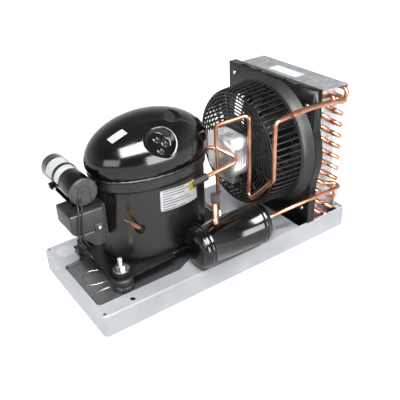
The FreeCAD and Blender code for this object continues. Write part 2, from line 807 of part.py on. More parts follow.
def fan_guard():
    """A basket moulded in one piece: slotted wall, ringed face and a plate for the motor."""
    t = guard_sheet
    wall_r = fan_r + tip_gap + plate_sheet
    front_r = guard_front_r
    band_x = throat_x - guard_band
    band = turned([(band_x, wall_r - 3), (band_x, wall_r), (throat_x, wall_r), (throat_x, wall_r - 3)],
                  (0, 0, fan_z), "x")
    rim = turned([(guard_front_x, front_r - 12), (guard_front_x, front_r - 8), (guard_front_x + t, front_r - 8),
                  (guard_front_x + t, front_r - 12)], (0, 0, fan_z), "x")
    profile = [(band_x, wall_r), (guard_front_x + 16, front_r + 2), (guard_front_x + 6, front_r + 0.5),
               (guard_front_x + 1.5, front_r - 3.5), (guard_front_x, front_r - 9),
               (guard_front_x + t, front_r - 9), (guard_front_x + 12, front_r + 2 - guard_rib_depth),
               (band_x, wall_r - guard_rib_depth)]
    outline = [V(x, -guard_rib / 2, fan_z + r) for x, r in profile]
    rib = Part.Face(Part.makePolygon(outline + [outline[0]])).extrude(V(0, guard_rib, 0))
    wall = [band, rim]
    for k in range(guard_ribs):
        turned_rib = rib.copy()
        turned_rib.rotate(V(0, 0, fan_z), V(1, 0, 0), (k + 0.5) * 360.0 / guard_ribs)
        wall.append(turned_rib)
    face = [disc_x(guard_front_x, guard_front_x + t, guard_hub_r).cut(
        disc_x(guard_front_x - 1, guard_front_x + t + 1, motor_bore_r - 12))]
    pitch = (guard_front_r - 12 - guard_hub_r) / guard_rings
    for k in range(1, guard_rings):
        r = guard_hub_r + k * pitch
        face.append(turned([(guard_front_x, r - 1), (guard_front_x, r + 1), (guard_front_x + t, r + 1),
                            (guard_front_x + t, r - 1)], (0, 0, fan_z), "x"))
    for k in range(guard_spokes):
        spoke = block(guard_front_x, guard_front_x + t, -1.5, 1.5, guard_hub_r - 2, guard_front_r - 9)
        spoke.translate(V(0, 0, fan_z))
        spoke.rotate(V(0, 0, fan_z), V(1, 0, 0), (k + 0.5) * 360.0 / guard_spokes)
        face.append(spoke)
    return joined(wall + face)


def shroud_screws():
    screws = []
    y = shroud_width / 2 - 20.5
    for y, z in ((-y, shroud_top - 34), (y, shroud_top - 22), (-y, shroud_foot + 72), (y, shroud_foot + 72)):
        screws.append(joined([rod((plate_x - 2.6, y, z), (plate_x, y, z), 4.4),
                              rod((plate_x - 1, y, z), (coil_left - 3, y, z), 1.9)]))
    return group(screws)


# Fan motor and blades

def motor_block(x0, x1, half, corner):
    body = block(x0, x1, -half, half, fan_z - half, fan_z + half)
    along = [e for e in body.Edges if abs(e.tangentAt(0).x) > 0.99]
    return body.makeFillet(corner, along)


def motor_housing():
    t = motor_wall
    body = motor_block(motor_front, guard_front_x, motor_half, motor_corner)
    hollow = disc_x(motor_front + t, guard_front_x + 1, motor_bore_r)
    seat = disc_x(motor_front + t, motor_front + t + bearing_width, bearing_r + 3)
    bore = disc_x(motor_front + t, motor_front + t + bearing_width + 1, bearing_r)
    lead_box = block(motor_front + 12, guard_front_x - 6, -24, 24, fan_z - motor_half - 22, fan_z - motor_half + 2)
    grooves = [block(motor_front + 8 + k * 7, motor_front + 11 + k * 7, -motor_half - 1, -motor_half + 1.5,
                     fan_z - 22, fan_z + 22) for k in range(4)]
    return joined([body.cut(hollow), seat.cut(bore), lead_box.cut(disc_x(0, 200, motor_bore_r))]).cut(group(grooves))


def motor_end_bell():
    """The plate that closes the motor and holds its second bearing, in the guard's middle."""
    x0 = guard_front_x
    cover = disc_x(x0, x0 + guard_sheet, motor_bore_r - 12)
    nose = disc_x(x0, x0 + bearing_width + 3, bearing_r + 3)
    bore = disc_x(x0 - 1, x0 + bearing_width, bearing_r)
    return joined([cover, nose]).cut(bore).cut(disc_x(x0, x0 + 20, shaft_r + 1.5))


def bearing(x0):
    outer = disc_x(x0, x0 + bearing_width, bearing_r)
    return outer.cut(disc_x(x0 - 1, x0 + bearing_width + 1, shaft_r + bearing_gap))


def motor_bearings():
    return group([bearing(motor_front + motor_wall), bearing(guard_front_x)])


def motor_stator():
    x0 = motor_front + motor_wall + bearing_width + 3
    core = disc_x(x0, guard_front_x - 4, motor_bore_r).cut(disc_x(x0 - 1, guard_front_x, rotor_r + air_gap))
    return core


def motor_shaft():
    """Shaft with the motor's rotor pressed on it."""
    x0 = motor_front + motor_wall
    x1 = throat_x - 18
    shaft = disc_x(x0 + 0.3, x1, shaft_r)
    rotor = disc_x(x0 + bearing_width + 4, guard_front_x - 5, rotor_r)
    return joined([shaft, rotor])


def hub_front():
    return fan_back - fan_pitch_depth - 12


def fan_hub():
    x0 = hub_front()
    profile = [(x0, shaft_r), (x0, hub_r - 6), (x0 + 4, hub_r), (x0 + hub_length, hub_r),
               (x0 + hub_length, hub_r - 3), (x0 + 8, hub_r - 3), (x0 + 6, hub_r - 8), (x0 + 6, 9),
               (x0 + 22, 8), (x0 + 22, shaft_r)]
    return turned(profile, (0, 0, fan_z), "x")


def blade_section(radius, chord, pitch):
    """A thin curved section, laid tangent to the circle of this radius."""
    a = math.radians(pitch)
    along = V(math.cos(a), math.sin(a), 0)
    across = V(-math.sin(a), math.cos(a), 0)
    place = V(fan_back - fan_pitch_depth / 2 - 2, 0, fan_z + radius)
    camber = chord * 0.09
    ends = [place - along * (chord / 2), place + along * (chord / 2)]
    outer = Part.Arc(ends[0], place + across * camber, ends[1]).toShape()
    lift = across * blade_sheet
    inner = Part.Arc(ends[1] - lift, place + across * (camber - blade_sheet), ends[0] - lift).toShape()
    return Part.Wire([outer, Part.makeLine(ends[1], ends[1] - lift), inner,
                      Part.makeLine(ends[0] - lift, ends[0])])


def fan_blade():
    inner_r = hub_r - 5
    sections = [(inner_r, 38, 52), (0.62 * fan_r, 62, 62), (fan_r + 3, 84, 68)]
    blade = Part.makeLoft([blade_section(*s) for s in sections], True, False)
    ring = disc_x(0, 400, fan_r).cut(disc_x(-1, 401, hub_r))
    return blade.common(ring)


def fan_rotor_blades():
    first = fan_blade()
    blades = []
    for k in range(fan_blades):
        blade = first.copy()
        blade.rotate(V(0, 0, fan_z), V(1, 0, 0), k * 360.0 / fan_blades)
        blades.append(blade)
    return group(blades)


def hub_nut():
    x0 = hub_front() + 22
    flats = 13.0
    across = flats / math.sqrt(3)
    ring = [V(x0, across * math.cos(math.radians(60 * k)), fan_z + across * math.sin(math.radians(60 * k)))
            for k in range(7)]
    return Part.Face(Part.makePolygon(ring)).extrude(V(6, 0, 0)).cut(disc_x(x0 - 1, x0 + 7, shaft_r))


# Condenser

def fin_pack():
    """The finned block; shallow grooves on its open sides mark the fins."""
    core = block(coil_left, coil_right, -coil_half, coil_half, coil_bottom, coil_top)
    grooves = []
    count = int(2 * coil_half / fin_groove_pitch)
    first = -fin_groove_pitch * (count - 1) / 2
    for k in range(count):
        y = first + k * fin_groove_pitch
        for x0, x1 in ((coil_left - 1, coil_left + fin_groove), (coil_right - fin_groove, coil_right + 1)):
            grooves.append(block(x0, x1, y - 3, y + 3, coil_bottom - 1, coil_top + 1))
    return core.cut(group(grooves))


def tube_sheet(side):
    y0 = side * coil_half
    y1 = side * (coil_half + sheet_metal)
    sheet = block(coil_left - 3, coil_right + 2, min(y0, y1), max(y0, y1), shroud_foot, coil_top)
    reach = side * (base_width / 2 - base_sheet - 0.3)
    foot = block(coil_left + 2, coil_right - 14, min(y0, reach), max(y0, reach), shroud_foot,
                 shroud_foot + sheet_metal)
    return joined([sheet, foot])


def row_x(row):
    return row_first + row * row_pitch


def level_z(level):
    return level_first + level * tube_pitch


def tube_z(row, level):
    return level_z(level) - row_stagger * (row % 2)


def return_bend(row, level, side):
    x0 = row_x(row)
    x1 = row_x(row + 1)
    z0 = tube_z(row, level)
    z1 = tube_z(row + 1, level)
    y0 = side * (coil_half + sheet_metal)
    y1 = side * (coil_half + sheet_metal + bend_leg)
    corners = [V(x0 + tube_r * math.cos(math.radians(45 * k + 22.5)), y1,
                 z0 + tube_r * math.sin(math.radians(45 * k + 22.5))) for k in range(9)]
    section = Part.Face(Part.makePolygon(corners))
    bend = section.revolve(V((x0 + x1) / 2, y1, (z0 + z1) / 2), V(side * (z1 - z0), 0, -side * (x1 - x0)), 180)
    leg = section.extrude(V(0, y0 - y1, 0))
    far_leg = leg.copy()
    far_leg.translate(V(x1 - x0, 0, z1 - z0))
    return joined([bend, leg, far_leg])


def front_bends():
    bends = []
    for level in range(levels):
        for row in (0, 2):
            if level == 11 and row == 0:
                continue
            if level == 2 and row == 2:
                continue
            bends.append(return_bend(row, level, -1))
    return group(bends)


def back_bends():
    return group([return_bend(1, level, 1) for level in range(levels)])


def top_plate():
    z = coil_top
    right = coil_right + 2 + top_sheet
    plate = block(plate_x + shroud_depth, right, top_front, coil_half + 20, z, z + top_sheet)
    lip = block(right - top_sheet, right, top_front, coil_half + 20, z - 9, z)
    holes = [rod((x, y, z - 1), (x, y, z + 3), 1.8) for x, y in ((268, -118), (226, -118), (262, 20), (228, 96))]
    return joined([plate, lip]).cut(group(holes))


def coil_bracket():
    """An angle that ties the coil's right side to the base."""
    x0 = coil_right + 2
    x1 = well_right + 14
    foot = block(x0, x1, -124, -98, base_height, base_height + 2)
    web = block(x0, x0 + 2, -124, -98, base_height, base_height + 26)
    return joined([foot, web])


def build_all():
    save("base_pan", base_pan())
    centres = foot_centres()
    save("rubber_grommets", group([grommet(x, y) for x, y in centres]))
    save("mounting_studs", group([stud(x, y) for x, y in centres]))
    save("mounting_washers", group([washer(x, y) for x, y in centres]))
    save("mounting_nuts", group([mount_nut(x, y) for x, y in centres]))
    save("compressor_feet", compressor_feet())
    save("compressor_lower_shell", lower_shell())
    save("compressor_upper_shell", upper_shell())
    save("compressor_weld_bead", weld_bead())
    save("support_springs", support_springs())
    save("compressor_stator", compressor_stator())
    save("compressor_windings", compressor_windings())
    save("compressor_crankshaft", compressor_crankshaft())
    save("compressor_block", compressor_block())
    save("compressor_piston", compressor_piston())
    save("valve_plate", valve_plate())
    save("cylinder_head", cylinder_head())
    tube, collar = process_tube()
    save("process_tube", tube)
    save("process_collar", collar)
    save("terminal_box_body", terminal_box_body())
    save("terminal_box_cover", terminal_box_cover())
    save("terminal_box_screw", terminal_box_screw())
    save("start_relay", start_relay())
    save("overload_protector", overload_protector())
    save("capacitor_can", capacitor_can())
    save("capacitor_lid", capacitor_lid())
    save("capacitor_bracket", capacitor_bracket())
    save("capacitor_strap", capacitor_strap())
    save("strap_screw", strap_screw())
    save("receiver_body", receiver_body())
    save("receiver_bracket", receiver_bracket())
    save("receiver_outlet", receiver_outlet())
    save("service_cap", service_cap())
    save("discharge_sleeve", discharge_sleeve())
    save("discharge_line", discharge_line())
    save("inlet_header", inlet_header())
    save("suction_line", suction_line())
    save("suction_valve", suction_valve())
    save("liquid_line", liquid_line())
    save("fan_shroud", fan_shroud())
    save("fan_guard", fan_guard())
    save("shroud_screws", shroud_screws())
    save("motor_housing", motor_housing())
    save("motor_end_bell", motor_end_bell())
    save("motor_bearings", motor_bearings())
    save("motor_stator", motor_stator())
    save("motor_shaft", motor_shaft())
    save("fan_hub", fan_hub())
    save("fan_blades", fan_rotor_blades())
    save("hub_nut", hub_nut())
    save("fin_pack", fin_pack())
    save("tube_sheet_front", tube_sheet(-1))
    save("tube_sheet_back", tube_sheet(1))
    save("return_bends_front", front_bends())
    save("return_bends_back", back_bends())
    save("top_plate", top_plate())
    save("coil_bracket", coil_bracket())


build_all()
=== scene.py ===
import json
import math

import bmesh
import bpy
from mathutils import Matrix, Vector, noise

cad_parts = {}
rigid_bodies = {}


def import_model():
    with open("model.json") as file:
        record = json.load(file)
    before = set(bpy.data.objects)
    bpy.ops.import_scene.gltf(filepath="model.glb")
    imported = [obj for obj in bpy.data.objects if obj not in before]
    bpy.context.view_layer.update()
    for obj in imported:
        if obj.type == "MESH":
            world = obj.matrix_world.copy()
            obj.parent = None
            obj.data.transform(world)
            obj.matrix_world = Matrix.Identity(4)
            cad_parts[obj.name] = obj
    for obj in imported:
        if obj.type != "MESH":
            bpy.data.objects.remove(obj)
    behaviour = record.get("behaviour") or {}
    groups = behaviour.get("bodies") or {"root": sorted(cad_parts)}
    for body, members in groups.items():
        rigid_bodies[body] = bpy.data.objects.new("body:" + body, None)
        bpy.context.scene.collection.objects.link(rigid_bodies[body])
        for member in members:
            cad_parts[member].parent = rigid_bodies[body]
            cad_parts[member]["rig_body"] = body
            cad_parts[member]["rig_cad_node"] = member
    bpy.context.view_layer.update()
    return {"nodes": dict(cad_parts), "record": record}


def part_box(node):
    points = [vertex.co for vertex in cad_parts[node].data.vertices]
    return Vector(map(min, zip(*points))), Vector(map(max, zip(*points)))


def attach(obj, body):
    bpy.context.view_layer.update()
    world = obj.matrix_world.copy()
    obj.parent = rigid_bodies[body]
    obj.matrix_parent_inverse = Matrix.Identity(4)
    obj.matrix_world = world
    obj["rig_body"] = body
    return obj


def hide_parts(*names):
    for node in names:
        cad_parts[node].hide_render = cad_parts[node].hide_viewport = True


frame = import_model()
print("frame loaded:", len(frame["nodes"]), "nodes")

# places are given in mm from the middle of the base pan, as on a drawing
baseLow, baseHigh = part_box("base_pan")
baseMiddle = (baseLow + baseHigh) / 2


def at(x, y, z):
    return Vector((baseMiddle.x + x / 1000, baseMiddle.y + y / 1000, z / 1000))


# camera: the photograph's viewpoint, for a square picture of 400 by 400
view = {
    "place": (-604.9, -904.05, 757.7),
    "turn": (59.46, 2.258, -35.193),
    "lens": 52.5,
}
bpy.ops.object.camera_add(location=at(*view["place"]))
camera = bpy.context.object
camera.rotation_euler = [math.radians(a) for a in view["turn"]]
camera.data.lens = view["lens"]
camera.data.sensor_width = 36
camera.data.clip_end = 20
bpy.context.scene.camera = camera
bpy.context.scene.view_settings.view_transform = "Standard"


# selection, as by hand: nothing selected, then one object opened for editing
def deselectAll():
    if bpy.context.mode != "OBJECT":
        bpy.ops.object.mode_set(mode="OBJECT")
    for one in bpy.context.selected_objects:
        one.select_set(False)


def activate(piece):
    deselectAll()
    piece.select_set(True)
    bpy.context.view_layer.objects.active = piece


def editPiece(piece):
    activate(piece)
    bpy.ops.object.mode_set(mode="EDIT")


def selectAll(piece):
    editPiece(piece)
    bpy.ops.mesh.select_all(action="SELECT")


# a new primitive's place, turn and size go into its mesh
def applyPlace():
    bpy.ops.object.transform_apply(location=True, rotation=True, scale=True)
    return bpy.context.object


def pickFaces(piece, test):
    editPiece(piece)
    bpy.ops.mesh.select_all(action="DESELECT")
    bpy.ops.mesh.select_mode(type="FACE")
    shape = bmesh.from_edit_mesh(piece.data)
    for face in shape.faces:
        face.select_set(test(face.calc_center_median(), face.normal))
    bmesh.update_edit_mesh(piece.data)


def moveVertices(piece, rule):
    deselectAll()
    for vertex in piece.data.vertices:
        vertex.co = rule(vertex.co.copy())
    piece.data.update()


def addModifier(piece, kind, **settings):
    activate(piece)
    modifier = piece.modifiers.new(kind.lower(), kind)
    for name, value in settings.items():
        setattr(modifier, name, value)
    bpy.ops.object.modifier_apply(modifier=modifier.name)


def bevelEdges(piece, width, segments, angle):
    addModifier(piece, "BEVEL", width=width / 1000, segments=segments, limit_method="ANGLE",
                angle_limit=math.radians(angle))


def cleanNormals(piece):
    selectAll(piece)
    bpy.ops.mesh.remove_doubles(threshold=0.00001)
    bpy.ops.mesh.normals_make_consistent(inside=False)
    bpy.ops.object.mode_set(mode="OBJECT")


# a piece takes its slot's finish, or its own, and may take the place of one CAD node
def finishPiece(piece, name, slot=None, node=None, material=None, body="unit", smooth=35):
    activate(piece)
    applyPlace()
    piece.name = name
    piece.data.name = name
    piece.data.materials.clear()
    piece.data.materials.append(material or paint[slot])
    if smooth:
        bpy.ops.object.shade_smooth_by_angle(angle=math.radians(smooth))
    deselectAll()
    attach(piece, body)
    if node:
        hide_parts(node)
    return piece


def copyAround(count, angle, center):
    for k in range(count - 1):
        bpy.ops.mesh.duplicate()
        bpy.ops.transform.rotate(value=math.radians(angle), orient_axis="X", center_override=center)


alongX = (0, math.pi / 2, 0)


# a turned body: a circle drawn out along its axis, from one (place, radius) pair to the next
def turnBody(profile, center, axis, sides=96):
    along = Vector([float(letter == axis) for letter in "xyz"])
    turn = {"x": alongX, "y": (math.pi / 2, 0, 0), "z": (0, 0, 0)}[axis]
    middle = at(*center)
    place, radius = profile[0]
    bpy.ops.mesh.primitive_circle_add(vertices=sides, radius=radius / 1000, fill_type="NGON",
                                      location=middle + along * place / 1000, rotation=turn)
    piece = applyPlace()
    selectAll(piece)
    for nextPlace, nextRadius in profile[1:]:
        bpy.ops.mesh.extrude_region_move(TRANSFORM_OT_translate={"value": along * (nextPlace - place) / 1000})
        bpy.ops.transform.resize(value=[1 if way else nextRadius / radius for way in along],
                                 center_override=middle + along * nextPlace / 1000)
        place, radius = nextPlace, nextRadius
    cleanNormals(piece)
    return piece


# a block between two corners, for working up by edit steps
def addBlock(low, high):
    middle = (at(*low) + at(*high)) / 2
    size = at(*high) - at(*low)
    bpy.ops.mesh.primitive_cube_add(size=1, location=middle, scale=size)
    return applyPlace()


def joinPieces(pieces):
    activate(pieces[0])
    for piece in pieces[1:]:
        piece.select_set(True)
    bpy.ops.object.join()
    return bpy.context.object


# a tube or cable: a smooth path near points in mm, given a round section and made a mesh
def drawTube(points, radius, sides=4, order=3):
    bpy.ops.curve.primitive_nurbs_path_add(location=(0, 0, 0))
    tube = bpy.context.object
    path = tube.data.splines[0]
    path.points.add(max(0, len(points) - len(path.points)))
    for k, point in enumerate(path.points):
        point.co = (*at(*points[min(k, len(points) - 1)]), 1)
    path.order_u = order
    path.use_endpoint_u = True
    path.resolution_u = 8
    tube.data.bevel_depth = radius / 1000
    tube.data.bevel_resolution = sides
    tube.data.use_fill_caps = True
    activate(tube)
    bpy.ops.object.convert(target="MESH")
    tube = bpy.context.object
    cleanNormals(tube)
    return tube


# materials: colours are sRGB hex, sizes of patterns are mm
def toLinear(code):
    channels = [int(code[k:k + 2], 16) / 255 for k in (1, 3, 5)]
    linear = [c / 12.92 if c <= 0.04045 else ((c + 0.055) / 1.055) ** 2.4 for c in channels]
    return (linear[0], linear[1], linear[2], 1.0)


# an input takes a number or colour, a node's socket, or a node for its first socket
def setInputs(tree, node, inputs):
    for name, value in inputs.items():
        if isinstance(value, bpy.types.Node):
            value = value.outputs[0]
        if isinstance(value, bpy.types.NodeSocket):
            tree.links.new(value, node.inputs[name])
        else:
            node.inputs[name].default_value = value


def addNode(tree, kind, inputs=None, **settings):
    node = tree.nodes.new("ShaderNode" + kind)
    for name, value in settings.items():
        setattr(node, name, value)
    setInputs(tree, node, inputs or {})
    return node


# 1 where each value lies within its reach of a middle, else 0
def insideSpans(tree, *spans):
    mask = 1.0
    for value, middle, reach in spans:
        inside = addNode(tree, "Math", {0: value, 1: middle, 2: reach}, operation="COMPARE")
        mask = addNode(tree, "Math", {0: mask, 1: inside}, operation="MULTIPLY")
    return mask


def newMaterial(name, roughness, metallic=0.0, ior=1.5):
    material = bpy.data.materials.new(name)
    material.use_nodes = True
    tree = material.node_tree
    tree.nodes.clear()
    shader = addNode(tree, "BsdfPrincipled", {"Roughness": roughness, "Metallic": metallic, "IOR": ior})
    addNode(tree, "OutputMaterial", {"Surface": shader.outputs["BSDF"]})
    place = addNode(tree, "TexCoord").outputs["Object"]
    return material, tree, shader, place


# how much of the noise's range each tone and each roughness takes
mottle = {"tones": (0.36, 0.64), "rough": (0.3, 0.7)}


# a mottled surface: two tones in patches, a range of roughness and a fine relief, all in mm
def makeFinish(name, look, metallic=0.0):
    material, tree, shader, place = newMaterial(name, look["rough"][0], metallic, look.get("ior", 1.5))
    patches = addNode(tree, "TexNoise", {"Vector": place, "Scale": 1000 / look["patch"], "Detail": 4.0})
    tones = addNode(tree, "ValToRGB", {"Fac": patches})
    colours = (look["low"], look["high"])
    for stop, position, colour in zip(tones.color_ramp.elements, mottle["tones"], colours):
        stop.position = position
        stop.color = toLinear(colour)
    low, high = mottle["rough"]
    sheen = addNode(tree, "MapRange", {"Value": patches, "From Min": low, "From Max": high,
                                       "To Min": look["rough"][0], "To Max": look["rough"][1]})
    relief = addNode(tree, "TexNoise", {"Vector": place, "Scale": 1000 / look["grain"], "Detail": 3.0})
    dents = addNode(tree, "Bump", {"Height": relief, "Distance": look["depth"] / 1000})
    setInputs(tree, shader, {"Base Color": tones, "Roughness": sheen, "Normal": dents})
    return material


# powder-coated steel: pale grey, faint orange peel, a soft sheen
greyPaint = {"low": "#c9cdd3", "high": "#d6d9de", "patch": 70,
             "rough": (0.3, 0.4), "grain": 1.6, "depth": 0.03}

# baked black enamel over drawn steel: deep gloss, reflections slightly wavy
glossBlack = {"low": "#080807", "high": "#0e0d0d", "patch": 35,
              "rough": (0.12, 0.17), "grain": 9, "depth": 0.02}

# thinner black enamel on pressed plate: satin and a little dusty
blackEnamel = {"low": "#0a0a0a", "high": "#141313", "patch": 14,
               "rough": (0.2, 0.4), "grain": 2, "depth": 0.03}

# the tub's enamel has dried duller: a soft broad sheen
tubEnamel = {"low": "#1b1a18", "high": "#262422", "patch": 40,
             "rough": (0.26, 0.34), "grain": 6, "depth": 0.02}

# moulded rubber: matt, with fine pores
blackRubber = {"low": "#0b0b0b", "high": "#141413", "patch": 12,
               "rough": (0.45, 0.65), "grain": 0.9, "depth": 0.06}

# bright zinc plate: silver with a cool and a warm mottle
zincPlate = {"low": "#b4b6b8", "high": "#dfe0dc", "patch": 5,
             "rough": (0.2, 0.36), "grain": 0.8, "depth": 0.02}

# turned brass: yellow, a little dull
brassMetal = {"low": "#a98448", "high": "#d2b070", "patch": 6,
              "rough": (0.2, 0.36), "grain": 0.8, "depth": 0.02}

# moulded polypropylene: black to dark warm grey by piece, satin, with a spark-eroded grain; the guard's and
# the flare's lighter greys are painted light
blackPlastic = {"low": "#0e0d0d", "high": "#151414", "patch": 22,
                "rough": (0.3, 0.4), "grain": 1.1, "depth": 0.03, "ior": 1.36}
# the guard's lighter grey is painted light: the light its rib tops catch from above, put into its colour
litGuardPlastic = {"low": "#1b1a19", "high": "#242322", "patch": 22,
                "rough": (0.3, 0.4), "grain": 1.1, "depth": 0.02, "ior": 1.45}
# the flare's lighter grey is painted light: the light it catches from above, put into its colour
litFlarePlastic = {"low": "#222120", "high": "#2c2b2a", "patch": 30,
                "rough": (0.4, 0.5), "grain": 1.1, "depth": 0.02}
boxPlastic = {"low": "#2b2a28", "high": "#363432", "patch": 22,
              "rough": (0.38, 0.5), "grain": 1.1, "depth": 0.03}
greyPlastic = {"low": "#413f3d", "high": "#514f4d", "patch": 9,
               "rough": (0.36, 0.5), "grain": 1.1, "depth": 0.03}

# die-cast aluminium: silver grey with a sandy skin
castAluminium = {"low": "#d0d1d3", "high": "#ebecec", "patch": 18,
                 "rough": (0.42, 0.55), "grain": 1.6, "depth": 0.04}

# grey iron, as cast: dark and sandy
castIron = {"low": "#545557", "high": "#727375", "patch": 10,
            "rough": (0.45, 0.6), "grain": 1.4, "depth": 0.08}

# turned steel: grey, slightly oily
turnedSteel = {"low": "#85878a", "high": "#a9abad", "patch": 8,
               "rough": (0.25, 0.4), "grain": 0.9, "depth": 0.02}

# rolled fin stock: thin bright aluminium, lightly creased
finStock = {"low": "#b9bcbf", "high": "#d3d5d7", "patch": 15, "rough": (0.3, 0.42), "grain": 3, "depth": 0.04}

# printed vinyl film: white, smooth, a soft sheen
vinylFilm = {"low": "#e4e6e8", "high": "#eceeef", "patch": 40,
             "rough": (0.3, 0.36), "grain": 2, "depth": 0.005}

# weld metal under paint: lumpy and shiny
weldSkin = {"low": "#060605", "high": "#100f0e", "patch": 5,
            "rough": (0.08, 0.28), "grain": 2.2, "depth": 0.5}

# drawn copper tube: salmon where clean, dull in patches, with brown heat stains
copperTube = {"low": "#a8745a", "high": "#cf9d83", "patch": 40,
              "stain": "#8f5f4b", "stainPatch": 24, "stainSpan": (0.58, 0.72), "stainMost": 0.7,
              "rough": (0.28, 0.42), "grain": 2.5, "depth": 0.012}


def makeCopper():
    material = makeFinish("drawn_copper", copperTube, 1.0)
    tree = material.node_tree
    shader = tree.nodes["Principled BSDF"]
    clean = shader.inputs["Base Color"].links[0].from_socket
    place = addNode(tree, "TexCoord").outputs["Object"]
    stain = copperTube["stainPatch"]
    heat = addNode(tree, "TexNoise", {"Vector": place, "Scale": 1000 / stain, "Detail": 6.0})
    low, high = copperTube["stainSpan"]
    amount = addNode(tree, "MapRange", {"Value": heat, "From Min": low, "From Max": high,
                                        "To Max": copperTube["stainMost"]})
    mixed = addNode(tree, "Mix", {0: amount, 6: clean, 7: toLinear(copperTube["stain"])},
                    data_type="RGBA")
    setInputs(tree, shader, {"Base Color": mixed.outputs[2]})
    return material


# hot-dip galvanised sheet: grey, with flat crystals (spangle) about 9 mm across
galvanised = {"low": "#b0b4b7", "high": "#ced2d4", "spangle": 9,
              "rough": (0.34, 0.5), "grain": 2, "depth": 0.03}


def makeGalvanised():
    material, tree, shader, place = newMaterial("galvanised_sheet", 0.4, 0.85)
    cells = addNode(tree, "TexVoronoi", {"Vector": place, "Scale": 1000 / galvanised["spangle"]})
    tone = addNode(tree, "SeparateColor", {"Color": cells.outputs["Color"]}).outputs["Red"]
    mixed = addNode(tree, "Mix", {0: tone, 6: toLinear(galvanised["low"]), 7: toLinear(galvanised["high"])},
                    data_type="RGBA")
    sheen = addNode(tree, "MapRange", {"Value": tone, "To Min": galvanised["rough"][0],
                                       "To Max": galvanised["rough"][1]})
    relief = addNode(tree, "TexNoise", {"Vector": place, "Scale": 1000 / galvanised["grain"]})
    dents = addNode(tree, "Bump", {"Height": relief, "Distance": galvanised["depth"] / 1000})
    setInputs(tree, shader, {"Base Color": mixed.outputs[2], "Roughness": sheen, "Normal": dents})
    return material


# the base pan: powder coat, but the pressed recess floor gets a darker grey and a mirror-like finish; the
# darker grey is painted shade for the recess under the black compressor
shadedRecessSheet = {"tone": "#8e9092", "rough": 0.22, "metal": 0.6,
               "low": 40.5, "high": 47.2, "halfLength": 309, "halfWidth": 134}


def makeBasePaint():
    material = makeFinish("powder_coated_pan", greyPaint)
    tree = material.node_tree
    shader = tree.nodes["Principled BSDF"]
    coat = shader.inputs["Base Color"].links[0].from_socket
    sheen = shader.inputs["Roughness"].links[0].from_socket
    place = addNode(tree, "TexCoord").outputs["Object"]
    face = addNode(tree, "SeparateXYZ", {"Vector": place})
    middle = (shadedRecessSheet["low"] + shadedRecessSheet["high"]) / 2000
    half = (shadedRecessSheet["high"] - shadedRecessSheet["low"]) / 2000
    mask = insideSpans(tree, (face.outputs["Z"], middle, half),
                       (face.outputs["X"], baseMiddle.x, shadedRecessSheet["halfLength"] / 1000),
                       (face.outputs["Y"], baseMiddle.y, shadedRecessSheet["halfWidth"] / 1000))
    # painted shade: inside the recess the coat's colour gives way to the darker grey
    colour = addNode(tree, "Mix", {0: mask, 6: coat, 7: toLinear(shadedRecessSheet["tone"])}, data_type="RGBA")
    rough = addNode(tree, "Mix", {0: mask, 2: sheen, 3: shadedRecessSheet["rough"]})
    metal = addNode(tree, "Math", {0: mask, 1: shadedRecessSheet["metal"]}, operation="MULTIPLY")
    setInputs(tree, shader, {"Base Color": colour.outputs[2], "Roughness": rough, "Metallic": metal})
    return material


# printed label: white film, rows of plain grey bars, a yellow patch at the upper right
labelFilm = {"white": "#e9eaec", "bar": "#8d9094", "yellow": "#d9c52f",
             "length": (0.55, 0.3), "barHeight": (0.5, 0.2), "edge": 0.06}


def makeLabel(name, rows, patch):
    material, tree, shader, place = newMaterial(name, 0.3)
    face = addNode(tree, "SeparateXYZ", {"Vector": addNode(tree, "TexCoord").outputs["UV"]})
    across = face.outputs["X"]
    up = face.outputs["Y"]
    lines = addNode(tree, "Math", {0: up, 1: float(rows)}, operation="MULTIPLY")
    line = addNode(tree, "Math", {0: lines}, operation="FLOOR")
    part = addNode(tree, "Math", {0: lines}, operation="FRACT")
    length = addNode(tree, "TexWhiteNoise", {"W": line}, noise_dimensions="1D").outputs["Value"]
    spread, least = labelFilm["length"]
    reach = addNode(tree, "Math", {0: length, 1: spread, 2: least}, operation="MULTIPLY_ADD")
    inRow = insideSpans(tree, (part, *labelFilm["barHeight"]))
    inLength = addNode(tree, "Math", {0: across, 1: reach}, operation="LESS_THAN")
    pastEdge = addNode(tree, "Math", {0: across, 1: labelFilm["edge"]}, operation="GREATER_THAN")
    both = addNode(tree, "Math", {0: inRow, 1: inLength}, operation="MULTIPLY")
    bar = addNode(tree, "Math", {0: both, 1: pastEdge}, operation="MULTIPLY")
    inked = addNode(tree, "Mix", {0: bar, 6: toLinear(labelFilm["white"]), 7: toLinear(labelFilm["bar"])},
                    data_type="RGBA").outputs[2]
    if patch:
        left, right, low, high = patch
        inside = insideSpans(tree, (across, (left + right) / 2, (right - left) / 2),
                             (up, (low + high) / 2, (high - low) / 2))
        inked = addNode(tree, "Mix", {0: inside, 6: inked, 7: toLinear(labelFilm["yellow"])},
                        data_type="RGBA").outputs[2]
    setInputs(tree, shader, {"Base Color": inked})
    return material


